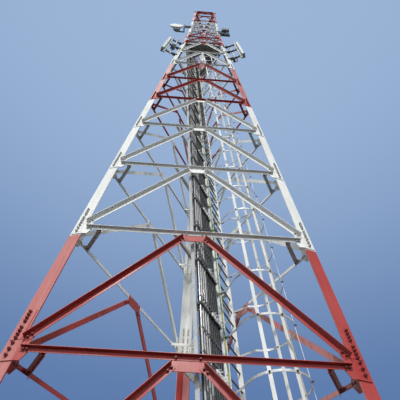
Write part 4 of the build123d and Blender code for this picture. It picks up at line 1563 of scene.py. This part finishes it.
@dataclass
class AerialFittings:
    """Clamps, end caps, sockets and cooling fins of the leg aerials."""

    shop: PaintShop
    arm_levels: tuple[float, ...] = (15.250, 16.290, 17.150)
    pipe_low: float = 14.950
    inner: float = 0.190
    outer: float = 0.400
    pipe_r: float = 0.027
    panel_w: float = 0.180
    panel_d: float = 0.090
    panel_h: float = 1.950
    panel_off: float = 0.030
    panel_up: float = 0.250
    cap_proud: float = 0.003
    cap_h: float = 0.040
    cap_drop: float = 0.004
    socket_pitch: float = 0.040
    rail_in: float = 0.250
    rail_back: float = 0.016
    rail_half: float = 0.035
    radio: tuple[float, float, float] = (0.160, 0.110, 0.330)
    radio_up: float = 0.480
    arm_half: float = 0.025
    jaw: tuple[float, float, float] = (0.110, 0.074, 0.010)
    jaw_out: float = 0.060
    jaw_bolts: tuple[float, float] = (0.025, -0.020)
    bolt_r: float = 0.005
    bolt_level: float = 0.034
    bolt_back: float = 0.046
    nut_back: float = 0.040
    fins: int = 11
    fin: tuple[float, float] = (0.004, 0.022)
    fin_in: float = 0.008
    fin_short: float = 0.030
    rim: tuple[float, float] = (0.020, 0.018)
    rim_in: float = 0.012
    radio_sockets: tuple[float, float] = (-0.050, 0.033)
    grip_r: float = 0.005
    panel_socket: tuple[tuple[float, float], ...] = (
        (0.014, 0.0), (0.014, 0.012), (0.011, 0.014), (0.011, 0.034), (0.007, 0.036), (0.006, 0.060))
    radio_socket: tuple[tuple[float, float], ...] = (
        (0.012, 0.0), (0.012, 0.010), (0.009, 0.012), (0.009, 0.040), (0.006, 0.044))
    grip: tuple[tuple[float, float], ...] = (
        (-0.05, -0.002), (-0.05, 0.028), (-0.035, 0.036), (0.035, 0.036), (0.05, 0.028), (0.05, -0.002))

    def stand(self, deg: float, z: float) -> Stand:
        """Frame on a leg: x out along the arm, z up the leg.

        Args:
            deg: direction of the leg.
            z: height.

        Returns:
            The stand.
        """
        up = (TOWER.heel(deg, z + 1) - TOWER.heel(deg, z)).normalized()
        side = plan({LEFT: 200.0, RIGHT: 340.0, REAR: 90.0}[deg])
        x = (side - up * side.dot(up)).normalized()
        return Stand(TOWER.heel(deg, z), x, up.cross(x), up)

    def build(self) -> None:
        """Fit the three groups."""
        clamps, caps, sockets, fins = Stock(), Stock(), Stock(), Stock()
        for deg in CORNERS:
            for z in self.arm_levels:
                arm = self.stand(deg, z)
                self.u_bolt(clamps, arm.moved(self.inner, self.arm_half + self.pipe_r))
                self.u_bolt(clamps, arm.moved(self.outer, 0.0))
                for sign in (-1, 1):
                    face = Stand(arm.point(self.jaw_out, sign * self.arm_half, 0), arm.x, arm.z, arm.y * sign)
                    clamps.block(face, self.jaw, 0.002)
                    for along, turn in zip(self.jaw_bolts, (10.0, 40.0)):
                        M16.nut(clamps, face.moved(along, 0.0, self.jaw[2]), turn)
            self.panel(caps, sockets, self.stand(deg, self.pipe_low + self.panel_up))
            self.radio_unit(fins, sockets, self.stand(deg, self.pipe_low + self.radio_up))
        clamps.piece("pipe_clamps", self.shop, Finish.BLACK_BOLT)
        caps.piece("panel_end_caps", self.shop, Finish.SHELL)
        sockets.piece("aerial_sockets", self.shop, Finish.BLACK_BOLT)
        fins.piece("radio_fins", self.shop, Finish.CASE)

    def u_bolt(self, stock: Stock, stand: Stand) -> None:
        """U bolt round a pipe with its two nuts.

        Args:
            stock: where the shapes go.
            stand: middle of the pipe, x out along the arm.
        """
        r, up = self.pipe_r + self.bolt_r, self.bolt_level
        path = [stand.point(-self.bolt_back, r, up)]
        path += [stand.point(r * sind(a), r * cosd(a), up) for a in range(0, 181, 20)]
        path += [stand.point(-self.bolt_back, -r, up)]
        stock.tube(path, self.bolt_r, 6)
        for sign in (-1, 1):
            at = stand.point(-self.nut_back, sign * r, up)
            M12.nut(stock, Stand(at, stand.y, stand.z, -stand.x), 5.0)

    def panel(self, caps: Stock, sockets: Stock, stand: Stand) -> None:
        """End caps, sockets and bracket nuts of one panel aerial.

        Args:
            caps: stock of the caps.
            sockets: stock of the sockets.
            stand: foot of the panel, on the leg's frame.
        """
        x = self.outer + self.pipe_r + self.panel_off + self.panel_d / 2
        size = (self.panel_d + 2 * self.cap_proud, self.panel_w + 2 * self.cap_proud, self.cap_h)
        for z in (-self.cap_drop, self.panel_h + self.cap_drop - self.cap_h):
            caps.block(stand.moved(x, 0, z), size, 0.012)
        for k in range(4):
            at = stand.point(x, self.socket_pitch * (k - 1.5), -self.cap_drop)
            sockets.turned(Stand(at, stand.x, -stand.y, -stand.z), list(self.panel_socket), 10)
        for z in (self.rail_in, self.panel_h - self.rail_in):
            for sign in (-1, 1):
                at = stand.point(x - self.panel_d / 2 - self.rail_back, sign * self.rail_half, z)
                M12.nut(sockets, Stand(at, stand.x, stand.z, stand.y * sign), 18.0)

    def radio_unit(self, fins: Stock, sockets: Stock, stand: Stand) -> None:
        """Cooling fins, handle and sockets of one radio unit.

        Args:
            fins: stock of the fins.
            sockets: stock of the sockets.
            stand: foot of the unit, on the leg's frame.
        """
        w, d, h = self.radio
        y = self.arm_half + 2 * self.pipe_r + d
        face = Stand(stand.point(self.inner, y, 0), -stand.x, stand.z, stand.y)
        fin_t, fin_out = self.fin
        pitch = (w - 2 * self.fin_in) / (self.fins - 1)
        for k in range(self.fins):
            place = face.moved(self.fin_in - w / 2 + k * pitch, h / 2)
            fins.block(place, (fin_t, h - self.fin_short, fin_out), 0.0012)
        for up in (h - self.rim_in, self.rim_in):
            fins.block(face.moved(0, up), (w, *self.rim), 0.004)
        first, apart = self.radio_sockets
        for k in range(4):
            at = stand.point(self.inner + first + apart * k, y - d / 2, 0)
            sockets.turned(Stand(at, stand.x, -stand.y, -stand.z), list(self.radio_socket), 10)
        fins.tube([stand.point(self.inner + x, y - d / 2, h + z) for x, z in self.grip], self.grip_r, 8)


@dataclass
class DishFittings:
    """Cover, rim bands and radio housing details of the dish."""

    shop: PaintShop
    z: float = 20.900
    beside: tuple[float, float] = (-0.640, -0.090)
    radius: float = 0.325
    rim: float = 0.060
    cone: float = 0.080
    back: float = 0.110
    back_r: float = 0.150
    swell: float = 0.014
    swell_steps: int = 9
    band: tuple[float, float] = (0.006, 0.012)
    band_in: float = 0.004
    seat: float = 0.002
    cover_in: float = 0.002
    edge_in: float = 0.001
    buckle: tuple[float, float, float] = (0.030, 0.040, 0.006)
    buckles: int = 12
    buckle_gap: float = 0.001
    webs: int = 8
    web_half: float = 0.003
    web_in: float = 0.026
    web_gap: float = 0.006
    web_foot: float = 0.010
    web_slope: float = 0.020
    web_over: float = 0.016
    first_ring: float = 0.012
    cooling_rings: int = 6
    ring: tuple[float, float] = (0.012, 0.005)
    ring_pitch: float = 0.016
    end_cap: tuple[tuple[float, float], ...] = ((0.110, -0.001), (0.110, 0.010), (0.100, 0.014))

    def build(self) -> None:
        """Stretch the cover, band the rim, and rib the back."""
        at = TOWER.heel(LEFT, self.z) + Vector((*self.beside, 0.0))
        back = Stand(at, plan(0), -WORLD.z, plan(90))
        cover, bands, ribs = Stock(), Stock(), Stock()
        cover.turned(Stand(at, plan(0), WORLD.z, plan(-90)), self.dome(), 48)
        self.rim_bands(bands, back)
        self.back_ribs(ribs, back)
        cover.piece("dish_cover", self.shop, Finish.SHELL)
        bands.piece("dish_bands", self.shop, Finish.ZINC)
        ribs.piece("dish_ribs", self.shop, Finish.CASE)

    def dome(self) -> Outline:
        """Shape of the cover.

        Returns:
            Radius and height of its rings, from the edge to the middle.
        """
        shares = [1 - k / self.swell_steps for k in range(self.swell_steps)]
        swelling = [(self.radius * q - self.cover_in, self.swell * (1 - q ** 2)) for q in shares]
        return [(self.radius - self.edge_in, 0.0)] + swelling

    def section(self, r: float, proud: float, low: float, wide: float) -> Outline:
        """Corners, as radius and height, of a band that sits on a round body."""
        inner, outer, high = r - self.seat, r + proud, low + wide
        return [(inner, low), (outer, low), (outer, high), (inner, high)]

    def rim_bands(self, stock: Stock, stand: Stand) -> None:
        """Two bands and the buckles that hold the cover.

        Args:
            stock: where the shapes go.
            stand: middle of the rim, z to the back.
        """
        proud, wide = self.band
        for low in (self.band_in, self.rim - self.band_in - wide):
            stock.hoop(stand, self.section(self.radius, proud, low, wide), 8)
        for k in range(self.buckles):
            turn = 360 / self.buckles * (k + 0.5)
            out = stand.x * cosd(turn) + stand.y * sind(turn)
            at = stand.at + out * (self.radius + self.buckle_gap) + stand.z * self.rim / 2
            place = Stand(at, out.cross(stand.z), stand.z, out)
            stock.block(place, self.buckle, 0.0015)
            M10.nut(stock, place.moved(0, 0, self.buckle[2]), 9.0 * k)

    def back_ribs(self, stock: Stock, stand: Stand) -> None:
        """Webs over the cone, cooling rings round the housing and its end cap.

        Args:
            stock: where the shapes go.
            stand: middle of the rim, z to the back.
        """
        foot, top = self.rim, self.rim + self.cone
        low, high = self.radius - self.web_in, self.back_r + self.web_gap
        toe, tip = foot + self.web_foot, top + self.web_over
        web = [(high, foot), (low, foot), (low, toe), (high + self.web_slope, tip), (high, tip)]
        for k in range(self.webs):
            turn = 360 / self.webs * k
            out = stand.x * cosd(turn) + stand.y * sind(turn)
            stock.plate(Stand(stand.at, out, stand.z, out.cross(stand.z)), web, -self.web_half, self.web_half)
        proud, wide = self.ring
        for k in range(self.cooling_rings):
            edge = top + self.first_ring + self.ring_pitch * k
            stock.hoop(stand, self.section(self.back_r, proud, edge, wide), 10)
        stock.turned(stand.moved(0, 0, top + self.back), list(self.end_cap), 32)


@dataclass
class BoxFittings:
    """Lids, fins, glands and straps of the two upper boxes."""

    shop: PaintShop
    z: float = 20.500
    beside: tuple[float, float] = (0.300, -0.010)
    near_box: tuple[float, float, float, float] = (0.350, -0.140, -0.190, 0.170)
    far_box: tuple[float, float, float, float] = (0.460, 0.110, -0.330, 0.010)
    strap: tuple[float, float, float] = (0.120, 0.050, 0.006)
    strap_off: float = 0.030
    strap_levels: tuple[float, float] = (-0.10, 0.06)
    strap_bolt: float = 0.045
    lid_t: float = 0.008
    lid_in: float = 0.020
    fins: int = 14
    fin: tuple[float, float] = (0.004, 0.016)
    fin_in: float = 0.040
    fin_short: float = 0.070
    fin_sunk: float = 0.001
    screw_in: float = 0.022
    gland_pitch: float = 0.060
    gland_back: float = 0.045
    gland: tuple[tuple[float, float], ...] = (
        (0.015, 0.0), (0.015, 0.008), (0.011, 0.010), (0.011, 0.028), (0.007, 0.030), (0.006, 0.055))

    def build(self) -> None:
        """Dress both boxes and strap them to their pole."""
        lids, glands = Stock(), Stock()
        at = TOWER.heel(RIGHT, self.z) + Vector((*self.beside, 0.0))
        self.box(lids, glands, at, self.near_box, plan(-90))
        self.box(lids, glands, at, self.far_box, plan(90))
        for dz in self.strap_levels:
            for sign in (-1, 1):
                place = at + Vector((0, sign * self.strap_off, dz))
                strap = Stand(place, plan(0), WORLD.z, plan(90) * -sign)
                glands.block(strap, self.strap, 0.0015)
                for along, turn in ((self.strap_bolt, 12.0), (-self.strap_bolt, 42.0)):
                    M12.nut(glands, strap.moved(along, 0.0, self.strap[2]), turn)
        lids.piece("box_lids", self.shop, Finish.CASE)
        glands.piece("box_glands", self.shop, Finish.BLACK_BOLT)

    def box(self, lids: Stock, glands: Stock, at: Vector, size: tuple[float, float, float, float],
            out: Vector) -> None:
        """Lid with fins, screws and glands of one box.

        Args:
            lids: stock of the lid and fins.
            glands: stock of the glands and screws.
            at: middle of the pole.
            size: width, place of the front, lowest and highest point, about the pole.
            out: direction that the lid faces.
        """
        w, y, low, high = size
        h = high - low
        along = WORLD.z.cross(out)
        face = Stand(at + Vector((0, y, (low + high) / 2)), along, WORLD.z, out)
        lids.block(face, (w - self.lid_in, h - self.lid_in, self.lid_t), 0.003)
        fin_t, fin_out = self.fin
        pitch = (w - 2 * self.fin_in) / (self.fins - 1)
        for k in range(self.fins):
            place = face.moved(self.fin_in - w / 2 + k * pitch, 0, self.lid_t - self.fin_sunk)
            lids.block(place, (fin_t, h - self.fin_short, fin_out), 0.001)
        for sx in (-1, 1):
            for sy in (-1, 0, 1):
                screw = face.moved(sx * (w / 2 - self.screw_in), sy * (h / 2 - self.screw_in), self.lid_t)
                M10.head(glands, screw, 11.0)
        for k in range(4):
            foot = face.point(self.gland_pitch * (k - 1.5), -h / 2, -self.gland_back)
            glands.turned(Stand(foot, along, -out, -WORLD.z), list(self.gland), 10)


@dataclass
class CabinetFittings:
    """Doors, hinges, handles and vents of the feeder box on the deck."""

    shop: PaintShop
    low: float = 17.490
    height: float = 0.460
    near: float = 0.055
    far: float = 0.614
    front: float = -0.070
    door_t: float = 0.006
    door_gap: tuple[float, float] = (0.012, 0.040)
    vents: int = 7
    vent: float = 0.005
    vent_short: float = 0.100
    vent_pitch: float = 0.012
    first_vent: float = -0.150
    hinge_r: float = 0.006
    hinge_h: float = 0.040
    hinge_in: float = 0.002
    hinge_pitch: float = 0.140
    handle: tuple[float, float, float] = (0.018, 0.070, 0.014)
    handle_in: float = 0.035
    roof: tuple[float, float] = (0.150, 0.010)
    roof_past: float = 0.050
    roof_out: float = 0.022

    def build(self) -> None:
        """Hang the doors and add the roof."""
        s = TOWER.spacing(self.low)
        start = Vector((s / 2 - LADDER.from_leg, -s / (2 * SQ3) - TOWER.axis_back, self.low))
        x, out, up = plan(60), plan(-30), WORLD.z
        origin = Stand(start, x, up, out)
        doors, irons = Stock(), Stock()
        mid = (self.near + self.far) / 2
        half = (self.far - self.near) / 2
        for sign in (-1, 1):
            door = origin.moved(mid + sign * half / 2, self.height / 2, -self.front)
            wide, tall = half - self.door_gap[0], self.height - self.door_gap[1]
            doors.block(door, (wide, tall, self.door_t), 0.002)
            for k in range(self.vents):
                slat = door.moved(0, self.first_vent + self.vent_pitch * k, self.door_t)
                doors.block(slat, (half - self.vent_short, self.vent, self.vent), 0.001)
            for k in (-1, 0, 1):
                across = sign * (half / 2 - self.hinge_in)
                foot = door.point(across, self.hinge_pitch * k - self.hinge_h / 2, self.door_t)
                irons.turned(Stand(foot, x, out, up), [(self.hinge_r, 0.0), (self.hinge_r, self.hinge_h)], 10)
            irons.block(door.moved(-sign * (half / 2 - self.handle_in), 0.0, self.door_t), self.handle, 0.004)
        roof = Stand(origin.point(mid, self.height, self.roof_out), x, out, up)
        doors.block(roof, (2 * half + self.roof_past, *self.roof), 0.004)
        doors.piece("feeder_box_doors", self.shop, Finish.CASE)
        irons.piece("feeder_box_irons", self.shop, Finish.BLACK_BOLT)


# Studio

@dataclass
class Studio:
    """Floor, light and camera."""

    eye: tuple[float, float, float] = (-0.074, -6.231, 1.641)
    pan: float = -2.425
    tilt: float = 143.894
    roll: float = 1.959
    lens: float = 32.69
    sensor: float = 36.0
    sun_from: tuple[float, float, float] = (-0.12, -1.0, 0.895)
    sun_strength: float = 2.5
    sun_spread: float = 3.0
    haze_from: tuple[float, float, float] = (-0.25, -1.0, 0.15)
    haze_strength: float = 0.75
    haze_spread: float = 60.0
    horizon_light: float = 1.05
    zenith_light: float = 0.28
    floor_radius: float = 300.0
    floor_rings: int = 8
    floor_sides: int = 72
    floor_z: float = -0.002
    floor_bounce: Colour = (0.03, 0.03, 0.03)
    floor_colour: Colour = (0.50, 0.52, 0.54)

    def build(self) -> None:
        """Lay the floor, hang the lamps and set the camera."""
        self.floor()
        self.sky()
        self.lamp("soft_sun", self.sun_from, self.sun_strength, self.sun_spread, (1.0, 0.97, 0.92))
        self.lamp("front_haze", self.haze_from, self.haze_strength, self.haze_spread, (0.95, 0.98, 1.0))
        self.camera()
        bpy.context.scene.view_settings.view_transform = "Standard"

    def floor(self) -> None:
        """Round pale floor that bounces little light up into the tower."""
        sides = self.floor_sides
        points = [(0.0, 0.0, self.floor_z)]
        for i in range(1, self.floor_rings + 1):
            r = self.floor_radius * (i / self.floor_rings) ** 2
            turns = [360 * k / sides for k in range(sides)]
            points += [(r * cosd(turn), r * sind(turn), self.floor_z) for turn in turns]
        faces = [[0, 1 + k, 1 + (k + 1) % sides] for k in range(sides)]
        for i in range(self.floor_rings - 1):
            a, b = 1 + i * sides, 1 + (i + 1) * sides
            faces += [[a + k, b + k, b + (k + 1) % sides, a + (k + 1) % sides] for k in range(sides)]
        mesh = bpy.data.meshes.new("pale_floor")
        mesh.from_pydata(points, [], faces)
        floor = bpy.data.objects.new("pale_floor", mesh)
        bpy.context.scene.collection.objects.link(floor)
        w = Weave.material("pale_floor")
        path = w.node("ShaderNodeLightPath")
        seen = w.math("MAXIMUM", path.outputs["Is Camera Ray"], path.outputs["Is Glossy Ray"])
        floor.data.materials.append(w.close(w.mix(seen, self.floor_bounce, self.floor_colour), 0.9))

    def sky(self) -> None:
        """Hazy sky, bright near the horizon, with its own tint to the lens."""
        world = bpy.data.worlds.new("hazy_sky")
        bpy.context.scene.world = world
        w = Weave(world)
        rise = w.node("ShaderNodeSeparateXYZ", Vector=w.places["Generated"]).outputs[2]
        glow = w.ramp(rise, -0.05, 0.95, self.horizon_light, self.zenith_light)
        light = w.node("ShaderNodeBackground", Color=(0.84, 0.92, 1.0), Strength=glow)
        deep = w.mix(w.ramp(rise, 0.0, 0.32), (0.46, 0.57, 0.70), (0.105, 0.195, 0.405))
        tint = w.mix(w.ramp(rise, 0.34, 1.0), deep, (0.33, 0.46, 0.68))
        seen = w.node("ShaderNodeBackground", Color=tint, Strength=1.0)
        path = w.node("ShaderNodeLightPath").outputs["Is Camera Ray"]
        blend = w.node("ShaderNodeMixShader", i0=path, i1=light.outputs[0], i2=seen.outputs[0])
        w.node("ShaderNodeOutputWorld", Surface=blend.outputs[0])

    def lamp(self, name: str, source: tuple[float, float, float], strength: float, spread: float,
             colour: Colour) -> None:
        """Hang a distant lamp.

        Args:
            name: name of the lamp.
            source: direction that it shines from.
            strength: its strength.
            spread: its width in degrees, for soft shadows.
            colour: colour of its light.
        """
        lamp = bpy.data.lights.new(name, "SUN")
        lamp.energy, lamp.angle, lamp.color = strength, math.radians(spread), colour
        obj = bpy.data.objects.new(name, lamp)
        obj.rotation_euler = Vector(source).to_track_quat("Z", "Y").to_euler()
        bpy.context.scene.collection.objects.link(obj)

    def camera(self) -> None:
        """Camera at the foot of the tower, looking up."""
        data = bpy.data.cameras.new("camera")
        data.lens, data.sensor_width, data.sensor_height = self.lens, self.sensor, self.sensor
        data.clip_end = 500.0
        obj = bpy.data.objects.new("camera", data)
        turn = Matrix.Identity(4)
        for deg, axis in ((self.pan, "Z"), (self.tilt, "X"), (self.roll, "Z")):
            turn = turn @ Matrix.Rotation(math.radians(deg), 4, axis)
        obj.matrix_world = Matrix.Translation(self.eye) @ turn
        bpy.context.scene.collection.objects.link(obj)
        bpy.context.scene.camera = obj


def main() -> None:
    """Build every part of the scene in order."""
    logging.basicConfig(level=logging.INFO, format="%(message)s")
    shop = PaintShop()
    shop.dress_cad()
    assemblies = (LegBolts(shop), BarBolts(shop), PlanCleats(shop), FootFittings(shop), CageFittings(shop),
                  CableFittings(shop), DeckFittings(shop), AerialFittings(shop), DishFittings(shop),
                  BoxFittings(shop), CabinetFittings(shop), Studio())
    for assembly in assemblies:
        assembly.build()
        log.info("%s done", type(assembly).__name__)


if __name__ == "__main__":
    main()
